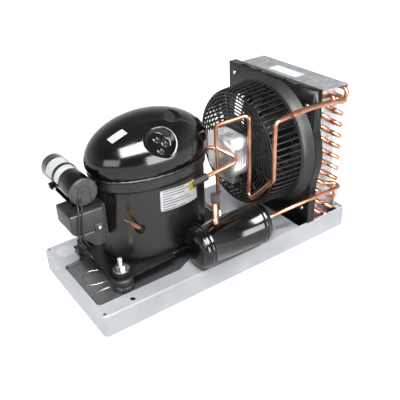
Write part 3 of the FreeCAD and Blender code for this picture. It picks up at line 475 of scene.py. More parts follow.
paint = {
    "grey_paint": makeBasePaint(),
    "gloss_black": makeFinish("gloss_black_enamel", glossBlack),
    "black_enamel": makeFinish("satin_black_enamel", blackEnamel),
    "cast_iron": makeFinish("grey_cast_iron", castIron, 1.0),
    "black_rubber": makeFinish("moulded_rubber", blackRubber),
    "zinc": makeFinish("zinc_plate", zincPlate, 1.0),
    "copper": makeCopper(),
    "brass": makeFinish("turned_brass", brassMetal, 1.0),
    "black_plastic": makeFinish("moulded_black_plastic", blackPlastic),
    "grey_plastic": makeFinish("moulded_grey_plastic", greyPlastic),
    "cast_aluminium": makeFinish("die_cast_aluminium", castAluminium, 0.5),
    "steel": makeFinish("turned_steel", turnedSteel, 1.0),
    "fin_aluminium": makeFinish("rolled_fin_aluminium", finStock, 1.0),
    "galvanised": makeGalvanised(),
}
weldMetal = makeFinish("painted_weld", weldSkin)
tubSkin = makeFinish("tub_enamel", tubEnamel)
boxSkin = makeFinish("box_moulding", boxPlastic)
litGuardSkin = makeFinish("lit_guard_moulding", litGuardPlastic)
litFlareSkin = makeFinish("lit_flare_moulding", litFlarePlastic)
whiteFilm = makeFinish("white_film", vinylFilm)
plainLabel = makeLabel("plain_label", 5, None)
print("materials ready")

# every CAD node first gets the finish of its own slot
nodeSlot = {part["node"]: part["material_slot"] for part in frame["record"]["subparts"]}
for node, body in frame["nodes"].items():
    body.data.materials.clear()
    body.data.materials.append(paint[nodeSlot[node]])


# a smooth twin of a CAD node: copied, merged and shaded by angle
def smoothTwin(node, name, body="unit"):
    activate(frame["nodes"][node])
    bpy.ops.object.duplicate()
    twin = bpy.context.object
    twin.parent = None
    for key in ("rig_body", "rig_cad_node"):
        if key in twin:
            del twin[key]
    cleanNormals(twin)
    return finishPiece(twin, name, nodeSlot[node], node, body=body, smooth=32)


roundPieces = {
    "rubber_grommets": "moulded_grommets",
    "mounting_studs": "threaded_studs",
    "mounting_washers": "flat_washers",
    "process_tube": "charging_tube",
    "process_collar": "charging_collar",
    "capacitor_strap": "capacitor_band",
    "receiver_outlet": "receiver_stub",
    "discharge_sleeve": "rubber_sleeve",
    "discharge_line": "discharge_tube",
    "suction_line": "suction_tube",
    "motor_housing": "motor_casting",
    "shroud_screws": "shroud_screw_heads",
    "fan_shroud": "shroud_moulding",
}
for node, name in roundPieces.items():
    smoothTwin(node, name)
turningPieces = {"fan_hub": "hub_moulding", "fan_blades": "blade_mouldings", "motor_shaft": "shaft_turning"}
for node, name in turningPieces.items():
    smoothTwin(node, name, "fan")
print("twins made")

# compressor dome: pressed bowl with a dished pad, three raised knobs on the pad and a flat near the crown
dome = {
    "middle": (-111, 7), "half": 131, "oval": 0.664, "widest": 270, "apex": 349.5, "seam": 252, "rim": 123.5,
    "wall": 2.6,
    "pad": {"center": (-122.9, -65.6, 311.2), "facing": (0.149, -0.737, 0.658), "plane": 227.7,
            "radius": 29, "edge": 12},
    "knobs": ((-4.9, 12.7), (-17.1, -0.6), (-0.4, -10.0)),
    "knobRadius": 7.2, "knobHeight": 6, "knobEdge": (0.45, 1.35), "knobMargin": 8,
    "line": {"start": (-160, -22), "end": (-34, -44), "height": 1.1, "behind": 3, "ahead": 20, "above": 285,
             "fadeIn": (-0.05, 0.2), "fadeOut": (0.85, 1.1)},
    "fine": {"middle": (-97, -36), "reach": (68, 20), "above": 300},
    "flat": {"center": (-75, -20, 342), "facing": (0.36, -0.42, 0.83), "plane": 263.9,
             "radius": 21, "edge": 7},
}


def smoothStep(value, low, high):
    t = min(1, max(0, (value - low) / (high - low)))
    return t * t * (3 - 2 * t)


def pressFlat(point, press):
    facing = Vector(press["facing"]).normalized()
    offset = point - Vector(press["center"])
    height = point.dot(facing) - press["plane"]
    away = (offset - facing * offset.dot(facing)).length
    inside = 1 - smoothStep(away, press["radius"] - press["edge"] / 2, press["radius"] + press["edge"] / 2)
    return point - facing * max(0, height) * inside, facing, offset


def onBowl(unit, z):
    # a point of the bowl from its direction on a round ball
    cx, cy = dome["middle"]
    return Vector((cx + unit.x * dome["half"], cy + unit.y * dome["half"] * dome["oval"], z))


def domeRule(co):
    cx, cy = dome["middle"]
    p = (co - baseMiddle) * 1000 + Vector((0, 0, baseMiddle.z * 1000))
    rise = dome["apex"] - dome["widest"]
    half = dome["half"]
    unit = Vector(((p.x - cx) / half, (p.y - cy) / half / dome["oval"], (p.z - dome["widest"]) / rise))
    if unit.z >= 0:
        unit.normalize()
        p = onBowl(unit, dome["widest"] + unit.z * rise)
    else:
        # below its widest line the bowl leans in to the seam
        drop = (dome["widest"] - p.z) / (dome["widest"] - dome["seam"])
        ring = Vector((unit.x, unit.y, 0)).normalized() * (1 - (1 - dome["rim"] / half) * drop * drop)
        p = onBowl(ring, max(p.z, dome["seam"]))
    # a faint pressed line runs across the front, steep behind and fading ahead
    line = dome["line"]
    start, end = Vector(line["start"]), Vector(line["end"])
    course = end - start
    spot = Vector((p.x, p.y)) - start
    along = spot.dot(course) / course.length_squared
    ahead = (course.y * spot.x - course.x * spot.y) / course.length
    spread = line["ahead"] if ahead > 0 else line["behind"]
    ends = smoothStep(along, *line["fadeIn"]) * (1 - smoothStep(along, *line["fadeOut"]))
    ridge = math.exp(-(ahead / spread) ** 2) * ends
    if p.z > line["above"]:
        p = p + Vector(unit) * ridge * line["height"]
    p = pressFlat(p, dome["flat"])[0]
    p, facing, offset = pressFlat(p, dome["pad"])
    along = facing.cross(Vector((0, 0, 1))).normalized()
    up = along.cross(facing)
    knob = 0
    for x, y in dome["knobs"]:
        reach = math.hypot(offset.dot(along) - x, offset.dot(up) - y) / dome["knobRadius"]
        knob = max(knob, 1 - smoothStep(reach, *dome["knobEdge"]))
    if offset.length < dome["pad"]["radius"] + dome["knobMargin"]:
        p = p + facing * knob * dome["knobHeight"]
    return at(p.x, p.y, p.z)


def nearPress(place, press):
    # the pressed spot and 6 mm round it
    return (place - at(*press["center"])).length < (press["radius"] + press["edge"] + 6) / 1000


def makeDome():
    cx, cy = dome["middle"]
    bpy.ops.mesh.primitive_uv_sphere_add(segments=144, ring_count=72, radius=1, location=(0, 0, 0))
    piece = bpy.context.object
    selectAll(piece)
    rise = dome["apex"] - dome["widest"]
    bpy.ops.transform.resize(value=(dome["half"] / 1000, dome["half"] * dome["oval"] / 1000, rise / 1000))
    bpy.ops.transform.translate(value=at(cx, cy, dome["widest"]))
    bpy.ops.mesh.bisect(plane_co=at(0, 0, dome["seam"]), plane_no=(0, 0, 1), clear_inner=True)
    presses = (dome["pad"], dome["flat"])
    for press in presses:
        pickFaces(piece, lambda place, normal: nearPress(place, press))
        bpy.ops.mesh.subdivide(number_cuts=3)
    fine = dome["fine"]
    middle = at(*fine["middle"], 0)
    pickFaces(piece, lambda place, normal: abs(place.x - middle.x) < fine["reach"][0] / 1000
              and abs(place.y - middle.y) < fine["reach"][1] / 1000 and place.z > fine["above"] / 1000
              and not any(nearPress(place, press) for press in presses))
    bpy.ops.mesh.subdivide(number_cuts=2)
    moveVertices(piece, domeRule)
    cleanNormals(piece)
    # the wall is thickened inwards, like drawn steel
    addModifier(piece, "SOLIDIFY", thickness=dome["wall"] / 1000, offset=-1)
    return finishPiece(piece, "dome_pressing", "black_enamel", "compressor_upper_shell",
                       paint["gloss_black"], smooth=60)


makeDome()
print("dome pressed")

# weld bead: a lumpy ring where the two shells meet
weld = {"rim": 124.6, "height": 250.2, "bead": 3.1, "lump": 0.9, "lumpScale": 210, "spread": 1.004,
        "seed": 7}


def makeWeldBead():
    cx, cy = dome["middle"]
    bpy.ops.mesh.primitive_torus_add(major_segments=260, minor_segments=10, major_radius=weld["rim"] / 1000,
                                     minor_radius=weld["bead"] / 1000, location=at(cx, cy, weld["height"]))
    piece = bpy.context.object
    selectAll(piece)
    bpy.ops.transform.resize(value=(1, dome["oval"] * weld["spread"], 1),
                             center_override=at(cx, cy, weld["height"]))
    bpy.ops.object.mode_set(mode="OBJECT")
    applyPlace()

    def lumps(co):
        push = noise.noise_vector(co * weld["lumpScale"])
        return co + push * weld["lump"] / 1000

    # without a seed the lumps would differ from run to run
    noise.seed_set(weld["seed"])
    moveVertices(piece, lumps)
    return finishPiece(piece, "weld_bead_lumps", "black_enamel", "compressor_weld_bead", weldMetal, smooth=80)


makeWeldBead()

# compressor tub: drawn oval, with a flared mouth, a pressed channel at the left and its wall inwards
tub = {
    "half": 119, "bottom": 62, "floorInset": 30, "corner": 26, "crease": 224, "mouth": 251.6,
    "wall": 3.2, "steps": 27,
    "flare": ((-1.5, 0.15), (0.6, 0.9), (2.6, 2.6), (4.6, 4.0), (6.4, 4.45), (10, 4.5), (18, 4.5),
              (27.6, 4.5)),
    "channel": {"foot": 139, "top": 218, "angles": (198, 205.5), "halfWidth": 7.5, "depth": 2.8,
                "fade": (9, 4), "edge": (0.72, 1.06)},
}


def channelRule(co):
    channel = tub["channel"]
    p = (co - at(*dome["middle"], 0)) * 1000
    angle = math.degrees(math.atan2(p.y / dome["oval"], p.x)) % 360
    along = (p.z - channel["foot"]) / (channel["top"] - channel["foot"])
    middle = channel["angles"][0] + (channel["angles"][1] - channel["angles"][0]) * along
    sideways = (angle - middle) / channel["halfWidth"]
    low, high = channel["fade"]
    past = max(0, channel["foot"] + low - p.z) / low + max(0, p.z - channel["top"]) / high
    inside = 1 - smoothStep(math.hypot(sideways, past), *channel["edge"])
    inward = Vector((p.x, p.y / dome["oval"] ** 2, 0)).normalized()
    return co - inward * inside * channel["depth"] / 1000


def makeTub():
    low = tub["bottom"]
    corner = tub["corner"]
    profile = [(low, tub["half"] - corner - tub["floorInset"])]
    for k in range(9):
        turn = math.radians(k * 11.25)
        profile.append((low + corner * (1 - math.cos(turn)), tub["half"] - corner + corner * math.sin(turn)))
    rise = (tub["crease"] - 4 - low - corner) / tub["steps"]
    profile += [(low + corner + rise * k, tub["half"]) for k in range(1, tub["steps"] + 1)]
    profile += [(tub["crease"] + up, tub["half"] + out) for up, out in tub["flare"]]
    center = (*dome["middle"], 0)
    piece = turnBody(profile, center, "z", 180)
    selectAll(piece)
    bpy.ops.transform.resize(value=(1, dome["oval"], 1), center_override=at(*center))
    pickFaces(piece, lambda place, normal: abs(normal.z) > 0.9 and place.z > tub["mouth"] / 1000 - 0.001)
    bpy.ops.mesh.delete(type="FACE")
    moveVertices(piece, channelRule)
    addModifier(piece, "SOLIDIFY", thickness=tub["wall"] / 1000, offset=-1)
    return finishPiece(piece, "drawn_tub", "black_enamel", "compressor_lower_shell", tubSkin, smooth=50)


makeTub()

# receiver: a drawn tank with domed ends and two rolled beads near each
tank = {"center": (0, -118, 93), "radius": 43, "left": -102, "right": 82, "head": 15,
        "bead": 1.6, "beads": (-84, -75, 50, 59)}


def makeTank():
    r = tank["radius"]
    head = [(tank["head"] * (1 - math.cos(math.radians(turn))), r * math.sin(math.radians(turn)))
            for turn in (6, 14, 22, 30, 38, 46, 54, 62, 70, 78, 84, 90)]
    profile = [(tank["left"] + inset, radius) for inset, radius in head]
    for place in tank["beads"]:
        profile += [(place, r), (place + 1, r + tank["bead"] * 0.55), (place + 2.5, r + tank["bead"]),
                    (place + 4, r + tank["bead"] * 0.55), (place + 5, r)]
    profile += [(tank["right"] - inset, radius) for inset, radius in reversed(head)]
    piece = turnBody(profile, tank["center"], "x", 128)
    return finishPiece(piece, "drawn_tank", "black_enamel", "receiver_body", paint["gloss_black"], smooth=50)


makeTank()

# start capacitor: a glossy can with a crimped mouth
can = {"center": (-265.6, 0, 242),
       "profile": ((-20, 19), (-20, 25.2), (-19.4, 26), (-17.6, 26), (-16.6, 25.3), (-15, 25.3), (-14, 26),
                   (20, 26), (60, 26), (114, 26), (116, 25.4), (117.4, 24), (118, 22), (118, 8))}


def makeCan():
    piece = turnBody(can["profile"], can["center"], "y", 96)
    return finishPiece(piece, "capacitor_tube", "gloss_black", "capacitor_can", smooth=50)


capacitorTube = makeCan()

# electrical box: a stepped moulding with its lower left corner cut away, held by one screw on a tab
box = {"left": -307, "right": -238, "front": -40, "back": 25, "low": 130, "split": 166, "top": 211,
       "lip": 1.3, "corner": (45, 40), "screw": (-252.8, 171), "seam": (186, 187.2), "neck": (-228, -20, 22),
       "head": ((0, 3.2), (0, 3.6), (1.6, 3.6), (2.6, 2.9), (3, 1.5))}


def makeBox():
    lip = box["lip"]
    left, right, front, back = (box[key] for key in ("left", "right", "front", "back"))
    lower = addBlock((left + lip, front + lip, box["low"]), (right - lip, back, box["split"]))
    upper = addBlock((left, front, box["split"] - 0.5), (right, back, box["top"]))
    for piece in (lower, upper):
        selectAll(piece)
        bpy.ops.mesh.bisect(plane_co=at(left + box["corner"][0], 0, box["low"]),
                            plane_no=(-box["corner"][1], 0, -box["corner"][0]),
                            use_fill=True, clear_outer=True)
        bevelEdges(piece, 4, 4, 30)
    neckEnd, neckFront, neckBack = box["neck"]
    neck = addBlock((right - 6, neckFront, box["low"] + 8), (neckEnd, neckBack, box["top"] - 6))
    seamLow, seamHigh = box["seam"]
    seam = addBlock((left + 1.5, front + 1.5, seamLow), (right + 0.7, back + 0.7, seamHigh))
    x, z = box["screw"]
    tabFace = front - 1.6
    tab = addBlock((x - 9, tabFace, z - 9), (x + 8, front + 3, z + 9))
    bevelEdges(tab, 2, 2, 50)
    finishPiece(lower, "box_base", "black_plastic", "terminal_box_body", boxSkin)
    cover = joinPieces([upper, neck, seam, tab])
    finishPiece(cover, "box_cover", "black_plastic", "terminal_box_cover", boxSkin)
    # the head is turned backwards, then mirrored to face the front
    head = turnBody(box["head"], (x, tabFace, z), "y", 24)
    selectAll(head)
    bpy.ops.transform.resize(value=(1, -1, 1), center_override=at(x, tabFace, z))
    cleanNormals(head)
    finishPiece(head, "box_screw_head", "zinc", "terminal_box_screw")


makeBox()

# two thin leads from the capacitor's mouth down over the box
leads = {"radius": 1.5, "gap": 7,
         "path": ((-280, -23, 232), (-284, -30, 228), (-289, -42.5, 216), (-292, -44, 200),
                  (-295, -44, 180), (-295, -43.5, 160), (-290, -42, 146), (-284, -41, 138))}


def makeLeads():
    pair = []
    for shift in (0, leads["gap"]):
        pair.append(drawTube([(x + shift, y, z) for x, y, z in leads["path"]], leads["radius"], 3))
    return finishPiece(joinPieces(pair), "capacitor_leads", "black_rubber", smooth=60)


makeLeads()
print("tub, tank, can and box made")

# fan guard: a moulded basket of ribs, rings and spokes around a solid middle
guard = {
    "axis": (0, 208), "ribs": 64, "ribWidth": 2.7, "ribDepth": 7, "back": 168, "front": 97,
    "wall": 134, "hub": 62, "hole": 28, "rings": 7, "ringPitch": 7.6, "ring": (2.8, 3.8),
    "ribSteps": ((-34, 0, -2.2), (-26, 0, -1.8), (-4, 0, -1.4), (-2.6, 0, -2.8), (-1.4, 0, -3.6),
                 (-0.5, 0, -3.6)),
    "hoop": (123.5, 101, 3.4, 4.6), "spokes": 12, "spoke": (4, 3.2, 60, 122), "spokeTurn": 15, "sheet": 4,
    "band": {"place": 174, "deep": 11.8, "wall": 3, "taper": 0.6},
}


def ringBar(radius, x, wide, deep):
    # a flat moulded ring: a torus squared off along the axis
    bpy.ops.mesh.primitive_torus_add(major_segments=96, minor_segments=8, major_radius=radius / 1000,
                                     minor_radius=wide / 2000, location=at(x, *guard["axis"]),
                                     rotation=alongX)
    ring = bpy.context.object
    selectAll(ring)
    bpy.ops.transform.resize(value=(deep / wide, 1, 1), center_override=at(x, *guard["axis"]))
    bpy.ops.object.mode_set(mode="OBJECT")
    return ring


def makeGuard():
    y, z = guard["axis"]
    axis = at(0, y, z)
    parts = []
    # one rib: a short bar drawn out forwards, then turned over the front edge
    halfRib = guard["ribWidth"] / 2
    ribs = addBlock((guard["back"], y - halfRib, z + guard["wall"] - guard["ribDepth"]),
                    (guard["back"] + 4, y + halfRib, z + guard["wall"]))
    pickFaces(ribs, lambda place, normal: normal.x < -0.9)
    for step in guard["ribSteps"]:
        bpy.ops.mesh.extrude_region_move(TRANSFORM_OT_translate={"value": Vector(step) / 1000})
    bpy.ops.mesh.select_all(action="SELECT")
    copyAround(guard["ribs"], 360 / guard["ribs"], axis)
    bpy.ops.object.mode_set(mode="OBJECT")
    parts.append(ribs)
    # rings across the front, spokes, and the hoop that ties the ribs
    for k in range(guard["rings"] + 1):
        parts.append(ringBar(guard["hub"] + 2 + k * guard["ringPitch"], guard["front"] + 2, *guard["ring"]))
    parts.append(ringBar(*guard["hoop"]))
    deep, wide, start, end = guard["spoke"]
    spokes = addBlock((guard["front"], y - wide / 2, z + start),
                      (guard["front"] + deep, y + wide / 2, z + end))
    selectAll(spokes)
    bpy.ops.transform.rotate(value=math.radians(guard["spokeTurn"]), orient_axis="X", center_override=axis)
    copyAround(guard["spokes"], 360 / guard["spokes"], axis)
    bpy.ops.object.mode_set(mode="OBJECT")
    parts.append(spokes)
    # the plate that carries the motor, with a raised rim
    bpy.ops.mesh.primitive_cylinder_add(vertices=72, radius=guard["hub"] / 1000, depth=guard["sheet"] / 1000,
                                        location=at(guard["front"] + 2, y, z), rotation=alongX)
    plate = applyPlace()
    pickFaces(plate, lambda place, normal: abs(normal.x) > 0.9)
    bpy.ops.mesh.inset(thickness=0.005)
    bpy.ops.mesh.inset(thickness=0.0015, depth=-0.0012)
    bpy.ops.mesh.inset(thickness=(guard["hub"] - 6.5 - guard["hole"]) / 1000)
    bpy.ops.mesh.bridge_edge_loops()
    bpy.ops.object.mode_set(mode="OBJECT")
    parts.append(plate)
    # the band at the back, where the basket meets the shroud
    band = guard["band"]
    bpy.ops.mesh.primitive_cone_add(vertices=128, radius1=(guard["wall"] - band["taper"]) / 1000,
                                    radius2=guard["wall"] / 1000, depth=band["deep"] / 1000,
                                    end_fill_type="NOTHING", location=at(band["place"], y, z),
                                    rotation=alongX)
    hoop = applyPlace()
    addModifier(hoop, "SOLIDIFY", thickness=band["wall"] / 1000, offset=-1)
    parts.append(hoop)
    piece = joinPieces(parts)
    bevelEdges(piece, 0.5, 1, 50)
    return finishPiece(piece, "guard_basket", "black_plastic", "fan_guard", litGuardSkin, smooth=40)


makeGuard()
print("guard moulded")

# condenser: thin fins on straight tubes, with a return bend at each end of a pair
coil = {"left": 215, "right": 285, "half": 108.5, "bottom": 22, "top": 346, "finPitch": 2.2, "fin": 0.25,
        "tube": 4.75, "firstRow": 221.5, "rowPitch": 19, "firstLevel": 41.4, "levelPitch": 25.4, "levels": 12,
        "stagger": 12.7, "sheet": 1.5, "leg": 9, "longLeg": 16, "longFrom": 4, "ripple": 0.3,
        "bell": {"step": 0.5, "length": 4.7, "grow": (1.04, 1, 1.1)},
        "low": {"level": 2, "leg": 9.5}, "high": {"ends": ((279.5, 318.5), (279.5, 340)), "leg": 19}}


def makeFins():
    firstFin = -coil["half"] + 1
    fins = addBlock((coil["left"], firstFin - coil["fin"] / 2, coil["bottom"]),
                    (coil["right"], firstFin + coil["fin"] / 2, coil["top"]))
    # each fin is rippled across, as rolled fins are
    pickFaces(fins, lambda place, normal: True)
    bpy.ops.mesh.subdivide(number_cuts=3)
    bpy.ops.object.mode_set(mode="OBJECT")
    start = at(coil["left"], 0, 0).x
    wave = (coil["right"] - coil["left"]) / 4000
    ripple = coil["ripple"] / 1000
    moveVertices(fins, lambda co: co + Vector((0, ripple * math.cos((co.x - start) * math.pi / wave), 0)))
    count = int((2 * coil["half"] - 2) / coil["finPitch"]) + 1
    addModifier(fins, "ARRAY", count=count, use_relative_offset=False, use_constant_offset=True,
                constant_offset_displace=(0, coil["finPitch"] / 1000, 0))
    return finishPiece(fins, "fin_stack", "fin_aluminium", "fin_pack", smooth=30)


def tubePlace(row, level):
    # every second row lies half a pitch lower
    x = coil["firstRow"] + row * coil["rowPitch"]
    return x, coil["firstLevel"] + level * coil["levelPitch"] - coil["stagger"] * (row % 2)


def makeStraightTubes():
    x, z = tubePlace(0, 0)
    bpy.ops.mesh.primitive_cylinder_add(vertices=16, radius=coil["tube"] / 1000,
                                        depth=(2 * coil["half"] + 2) / 1000, location=at(x, 0, z),
                                        rotation=(math.radians(90), 0, 0))
    tubes = applyPlace()
    pickFaces(tubes, lambda place, normal: abs(normal.y) > 0.9)
    bpy.ops.mesh.inset(thickness=0.001)
    bpy.ops.mesh.delete(type="ONLY_FACE")
    bpy.ops.mesh.select_all(action="SELECT")
    toNextRow = (coil["rowPitch"] / 1000, 0, -coil["stagger"] / 1000)
    bpy.ops.mesh.duplicate_move(TRANSFORM_OT_translate={"value": toNextRow})
    addModifier(tubes, "ARRAY", count=2, use_relative_offset=False, use_constant_offset=True,
                constant_offset_displace=(2 * coil["rowPitch"] / 1000, 0, 0))
    addModifier(tubes, "ARRAY", count=coil["levels"], use_relative_offset=False, use_constant_offset=True,
                constant_offset_displace=(0, 0, coil["levelPitch"] / 1000))
    return finishPiece(tubes, "coil_tubes", "copper")


def makeHairpin(start, end, side, leg):
    # half a ring over two tube ends, drawn straight back to the tube sheet and belled where it is brazed
    x = (start[0] + end[0]) / 2
    z = (start[1] + end[1]) / 2
    y = side * (coil["half"] + coil["sheet"] + leg)
    span = math.hypot(end[0] - start[0], end[1] - start[1])
    bpy.ops.mesh.primitive_torus_add(major_segments=32, minor_segments=14, major_radius=span / 2000,
                                     minor_radius=coil["tube"] / 1000, location=at(x, y, z))
    bend = applyPlace()
    selectAll(bend)
    bpy.ops.mesh.bisect(plane_co=at(x, y, z), plane_no=(0, side, 0), clear_inner=True)
    bpy.ops.mesh.select_all(action="DESELECT")
    bpy.ops.mesh.select_mode(type="EDGE")
    bpy.ops.mesh.select_non_manifold()
    bell = coil["bell"]
    straight = leg - bell["step"] - bell["length"]
    for step, grow in ((straight, None), (bell["step"], bell["grow"]), (bell["length"], None)):
        bpy.ops.mesh.extrude_edges_move(TRANSFORM_OT_translate={"value": (0, -side * step / 1000, 0)})
        if grow:
            bpy.ops.transform.resize(value=grow, center_override=at(x, y, z))
    bpy.ops.mesh.select_mode(type="FACE")
    # the ring lies level until it is turned onto its two tubes
    tilt = math.atan2(end[1] - start[1], end[0] - start[0])
    bpy.ops.mesh.select_all(action="SELECT")
    bpy.ops.transform.rotate(value=tilt, orient_axis="Y", center_override=at(x, y, z))
    cleanNormals(bend)
    return bend


def makeHairpins(name, places, side, node):
    bends = []
    for row, level in places:
        leg = coil["longLeg"] if side < 0 and level >= coil["longFrom"] else coil["leg"]
        bends.append(makeHairpin(tubePlace(row, level), tubePlace(row + 1, level), side, leg))
    return finishPiece(joinPieces(bends), name, "copper", node, smooth=50)


def makeUprightBends():
    # two bends stand upright on the outer row, one low down and one under the top plate
    level = coil["low"]["level"]
    low = makeHairpin(tubePlace(3, level), tubePlace(3, level + 1), -1, coil["low"]["leg"])
    high = makeHairpin(*coil["high"]["ends"], -1, coil["high"]["leg"])
    return finishPiece(joinPieces([low, high]), "upright_bends", "copper", smooth=50)


makeFins()
makeStraightTubes()
openPlaces = ((0, 11), (2, 2), (2, 3))
frontPlaces = [(row, level) for level in range(coil["levels"]) for row in (0, 2)
               if (row, level) not in openPlaces]
makeHairpins("hairpin_bends_front", frontPlaces, -1, "return_bends_front")
makeHairpins("hairpin_bends_back", [(1, level) for level in range(coil["levels"])], 1, "return_bends_back")
makeUprightBends()

# liquid line: out of the receiver's end, along the front and round into the coil
liquid = {"radius": 4.2,
          "path": ((66, -126, 99.7), (90, -128.5, 101.8), (112, -130, 103.2), (130, -133, 106),
                   (160, -141, 112.5), (182, -145, 116), (196, -145.5, 116.2), (230, -145.5, 116.2),
                   (262, -145.5, 115.6),
                   (272, -145.3, 114.4), (280, -141, 113), (282, -133, 113.6), (278, -126, 116),
                   (270, -122.5, 117.4), (261.5, -119, 117.6), (259.5, -113, 117.6), (259.5, -109.6, 117.6))}
liquidTube = drawTube(liquid["path"], liquid["radius"], 5)
finishPiece(liquidTube, "liquid_tube", "copper", "liquid_line", smooth=60)
print("condenser built")

# pressed ribs in the recess floor: half-sunk round bars, flattened
ribs = {"radius": 3.2, "flat": 0.5, "floor": 42, "paths": (
    ((-250, 8), (-262, 14), (-274, 15.5), (-286, 10), (-292.5, 0), (-292.5, -14), (-286, -26), (-276, -31.5),
     (-262, -34), (-250, -35)),
    ((-305, -74), (-300, -64), (-291, -57.5), (-280, -54.5), (-268, -54), (-255, -56)),
    ((-232, -71), (-243, -77), (-252, -83), (-260, -88), (-268, -92.5)))}


def makeRibs():
    bars = []
    for path in ribs["paths"]:
        bars.append(drawTube([(*spot, ribs["floor"]) for spot in path], ribs["radius"]))
    piece = joinPieces(bars)
    selectAll(piece)
    bpy.ops.transform.resize(value=(1, 1, ribs["flat"]), center_override=at(0, 0, ribs["floor"]))
    return finishPiece(piece, "pressed_ribs", "grey_paint", smooth=60)


makeRibs()

# an eight-sided blank sticker on the pan's corner
sticker = {"center": (-279, 101), "radius": 21, "lift": 48.05, "thick": 0.25,
           "border": 2.2, "print": (0.6, -0.1)}


def makeSticker():
    middle = sticker["lift"] + sticker["thick"] / 2
    bpy.ops.mesh.primitive_cylinder_add(vertices=8, radius=sticker["radius"] / 1000,
                                        depth=sticker["thick"] / 1000,
                                        location=at(*sticker["center"], middle),
                                        rotation=(0, 0, math.radians(22.5)))
    piece = bpy.context.object
    pickFaces(piece, lambda place, normal: normal.z > 0.9)
    bpy.ops.mesh.inset(thickness=sticker["border"] / 1000)
    width, depth = sticker["print"]
    bpy.ops.mesh.inset(thickness=width / 1000, depth=depth / 1000)
    return finishPiece(piece, "pan_sticker", material=whiteFilm, smooth=0)


makeSticker()

# inlet header: a wider tube brazed to the discharge line, open at its end, with a hook into the coil
header = {"radius": 5.75, "wall": 1.2, "bore": (-20, 0, 2.4), "swageRadius": 6.4, "hookRadius": 4.2,
          "path": ((130, -147.6, 326.8), (150, -147.2, 327.4), (175, -146.2, 327.8), (200, -145.2, 326.6),
                   (225, -144.4, 323.6), (250, -143.2, 320.2), (273, -142, 317)),
          "swage": ((123, -147.4, 326.1), (127, -147.4, 326.4), (131, -147.4, 326.8), (135, -147.4, 327),
                    (139, -147.4, 327.2)),
          "hook": ((241, -143, 324), (240.5, -141, 331), (240.5, -132, 333), (240.5, -122, 329),
                   (240.5, -109.6, 322))}


def makeHeader():
    tube = drawTube(header["path"], header["radius"], 6)
    end = at(*header["path"][-1])
    pickFaces(tube, lambda place, normal: (place - end).length < 0.001 and normal.x > 0.5)
    bpy.ops.mesh.inset(thickness=header["wall"] / 1000)
    bpy.ops.mesh.extrude_region_move(TRANSFORM_OT_translate={"value": Vector(header["bore"]) / 1000})
    bpy.ops.object.mode_set(mode="OBJECT")
    swage = drawTube(header["swage"], header["swageRadius"], 6)
    hook = drawTube(header["hook"], header["hookRadius"], 5)
    piece = joinPieces([tube, swage, hook])
    return finishPiece(piece, "header_tube", "copper", "inlet_header", smooth=60)


makeHeader()

# shroud flare: the bell mouth between the basket and the plate, in the same black moulding but painted a
# lighter grey than both, a painted highlight for the light it catches from above
flare = {"axis": (0, 208), "wall": 1.2, "top": 351.8,
         "profile": ((173, 134.6), (176.5, 135.6), (181, 138.4), (186, 142.6), (191.8, 148.4))}


def makeFlare():
    piece = turnBody(flare["profile"], (0, *flare["axis"]), "x", 128)
    pickFaces(piece, lambda place, normal: abs(normal.x) > 0.999)
    bpy.ops.mesh.delete(type="FACE")
    bpy.ops.mesh.select_all(action="SELECT")
    bpy.ops.mesh.bisect(plane_co=at(0, 0, flare["top"]), plane_no=(0, 0, 1), clear_outer=True)
    addModifier(piece, "SOLIDIFY", thickness=flare["wall"] / 1000, offset=-1)
    return finishPiece(piece, "shroud_flare", "black_plastic", None, litFlareSkin, smooth=50)


makeFlare()

# labels: thin film laid on a surface, with plain grey bars and no lettering; its corners are rounded off
film = {"flat": (0.86, 0.8), "corner": 0.2}


def makeFilm(name, corners, target, material, cells=(24, 14), lift=0.35):
    # corners: top left, top right, bottom right, bottom left
    bpy.ops.mesh.primitive_grid_add(x_subdivisions=cells[0], y_subdivisions=cells[1], size=2,
                                    location=(0, 0, 0))
    piece = bpy.context.object
    topLeft, topRight, bottomRight, bottomLeft = [at(*c) for c in corners]

    def stretch(co):
        flat = [min(abs(co[k]), film["flat"][k]) for k in (0, 1)]
        past = Vector([abs(co[k]) - flat[k] for k in (0, 1)]) / film["corner"]
        pull = max(past) / past.length if past.length else 1
        u, v = [(math.copysign(flat[k] + past[k] * film["corner"] * pull, co[k]) + 1) / 2 for k in (0, 1)]
        low = bottomLeft.lerp(bottomRight, u)
        return low.lerp(topLeft.lerp(topRight, u), v)

    moveVertices(piece, stretch)
    if target:
        addModifier(piece, "SHRINKWRAP", target=target, wrap_method="NEAREST_SURFACEPOINT",
                    wrap_mode="ABOVE_SURFACE", offset=lift / 1000)
    outward = (topRight - topLeft).cross(bottomLeft - topLeft)
    if piece.data.polygons[0].normal.dot(outward) > 0:
        selectAll(piece)
        bpy.ops.mesh.flip_normals()
    return finishPiece(piece, name, material=material, smooth=60)


tubBody = bpy.data.objects["drawn_tub"]
domeBody = bpy.data.objects["dome_pressing"]
ratingLabel = makeLabel("rating_label_film", 8, (0.757, 0.97, 0.55, 0.95))
makeFilm("rating_label", ((-136.6, -80, 218), (-43.5, -68, 211), (-41, -67, 167), (-138.4, -80, 173)),
         tubBody, ratingLabel)
makeFilm("dome_label", ((-173.5, -17.5, 341), (-170, -32.5, 337), (-202.5, -29.5, 325), (-205.5, -13.5, 329)),
         domeBody, whiteFilm, (12, 8))
makeFilm("capacitor_label", ((-293, 33, 243), (-293, 91, 243), (-253, 91, 268), (-253, 33, 268)),
         capacitorTube, whiteFilm, (16, 20), 0.2)
makeFilm("plate_label", ((233, -36, 347.4), (262, -36, 347.4), (262, 50, 347.4), (233, 50, 347.4)),
         None, whiteFilm, (12, 12))
makeFilm("motor_label", ((62, -28, 254), (92, -28, 254), (92, 20, 254), (62, 20, 254)),
         None, plainLabel, (12, 12))
print("labels laid")

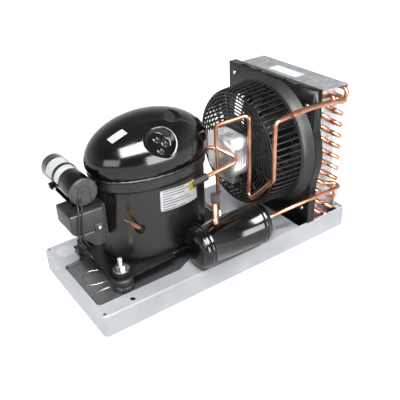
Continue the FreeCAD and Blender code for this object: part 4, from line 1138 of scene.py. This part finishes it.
# floor and light
floor = {"size": 12.0, "colour": "#f2f2f2", "lift": 0.42, "farLift": 1.0, "near": 0.9, "far": 2.6,
         "under": (305, 130)}
bpy.ops.mesh.primitive_plane_add(size=floor["size"], location=(0, 0, -0.0004))
ground = bpy.context.object
ground.name = "studio_floor"
groundPaint = bpy.data.materials.new("pale_floor")
groundPaint.use_nodes = True
tree = groundPaint.node_tree
tree.nodes.clear()
matt = addNode(tree, "BsdfDiffuse", {"Color": toLinear(floor["colour"])})
rays = addNode(tree, "LightPath").outputs
seen = addNode(tree, "Math", {0: rays["Is Camera Ray"], 1: rays["Is Glossy Ray"]}, operation="MAXIMUM")
seen = addNode(tree, "Math", {0: seen, 1: rays["Is Transmission Ray"]}, operation="MAXIMUM")
place = addNode(tree, "TexCoord").outputs["Object"]
reach = addNode(tree, "VectorMath", {0: place}, operation="LENGTH").outputs["Value"]
level = addNode(tree, "MapRange", {"Value": reach, "From Min": floor["near"], "From Max": floor["far"],
                                   "To Min": floor["lift"], "To Max": floor["farLift"]})
# painted shade: the floor's glow is cut out in a box the size of the pan, so the floor seen through its holes
# looks dark
side = addNode(tree, "SeparateXYZ", {"Vector": place})
under = insideSpans(tree, (side.outputs["X"], baseMiddle.x, floor["under"][0] / 1000),
                    (side.outputs["Y"], baseMiddle.y, floor["under"][1] / 1000))
outsidePanShade = addNode(tree, "Math", {0: 1.0, 1: under}, operation="SUBTRACT")
level = addNode(tree, "Math", {0: level, 1: outsidePanShade}, operation="MULTIPLY")
lift = addNode(tree, "Math", {0: seen, 1: level}, operation="MULTIPLY")
glow = addNode(tree, "Emission", {"Strength": lift})
both = addNode(tree, "AddShader", {0: matt, 1: glow})
addNode(tree, "OutputMaterial", {"Surface": both})
ground.data.materials.append(groundPaint)

world = bpy.data.worlds.new("studio")
bpy.context.scene.world = world
world.use_nodes = True
tree = world.node_tree
tree.nodes.clear()
studio = {"fill": 0.34, "level": 0.85, "horizon": 0.2, "ceiling": 0.6, "dark": 0.3,
          "back": (0.56, 0.83, 0), "dim": 0.25, "dimSpan": (-0.75, 0.1)}
rays = addNode(tree, "LightPath").outputs
direction = addNode(tree, "TexCoord").outputs["Generated"]
height = addNode(tree, "SeparateXYZ", {"Vector": direction}).outputs["Z"]
ceiling = addNode(tree, "MapRange", {"Value": height, "From Min": studio["horizon"],
                                     "From Max": studio["ceiling"], "To Min": studio["level"],
                                     "To Max": studio["dark"]})
# the side behind the camera is a dark room, so mirrors that face it stay dark
facing = addNode(tree, "VectorMath", {0: direction, 1: studio["back"]}, operation="DOT_PRODUCT")
room = addNode(tree, "MapRange", {"Value": facing.outputs["Value"], "From Min": studio["dimSpan"][0],
                                  "From Max": studio["dimSpan"][1], "To Min": studio["dim"], "To Max": 1.0})
ceiling = addNode(tree, "Math", {0: ceiling, 1: room}, operation="MULTIPLY")
seen = addNode(tree, "Math", {0: rays["Is Glossy Ray"], 1: rays["Is Transmission Ray"]}, operation="MAXIMUM")
shown = addNode(tree, "Mix", {0: seen, 2: studio["fill"], 3: ceiling})
shown = addNode(tree, "Mix", {0: rays["Is Camera Ray"], 2: shown, 3: 1.0})
background = addNode(tree, "Background", {"Color": (1, 1, 1, 1), "Strength": shown})
addNode(tree, "OutputWorld", {"Surface": background})

# a mirrored lamp is seen only as a reflection; the others light the object and aren't reflected
lamps = [
    {"name": "top_softbox", "place": (-439, -1058, 1395), "aim": (-169, -57, 311),
     "size": (1360, 820), "power": 96, "mirrored": True},
    {"name": "low_softbox", "place": (216, -1514, 380), "aim": (-134, -78, 281),
     "size": (900, 640), "power": 24, "mirrored": True},
    {"name": "left_softbox", "place": (-1486, -758, 635), "aim": (-214, -41, 291),
     "size": (950, 520), "power": 8, "mirrored": True},
    {"name": "overhead_box", "place": (-560, -760, 1750), "aim": (-130, 0, 250),
     "size": (900, 420), "power": 21, "mirrored": False},
    {"name": "right_box", "place": (1500, -500, 1000), "aim": (120, 0, 150),
     "size": (700, 700), "power": 12, "mirrored": False},
    {"name": "rear_box", "place": (200, 1500, 1500), "aim": (0, 0, 200),
     "size": (1400, 500), "power": 12, "mirrored": False},
    {"name": "front_box", "place": (-1500, -1300, 600), "aim": (-50, 0, 120),
     "size": (500, 900), "power": 3, "mirrored": False},
]
for lamp in lamps:
    bpy.ops.object.light_add(type="AREA", location=at(*lamp["place"]))
    light = bpy.context.object
    light.name = lamp["name"]
    light.data.shape = "RECTANGLE"
    light.data.size, light.data.size_y = (side / 1000 for side in lamp["size"])
    light.data.energy = lamp["power"]
    light.visible_glossy = lamp["mirrored"]
    light.visible_diffuse = not lamp["mirrored"]
    aim = at(*lamp["aim"]) - at(*lamp["place"])
    light.rotation_euler = aim.to_track_quat("-Z", "Y").to_euler()
print("studio lit")

bpy.context.view_layer.update()
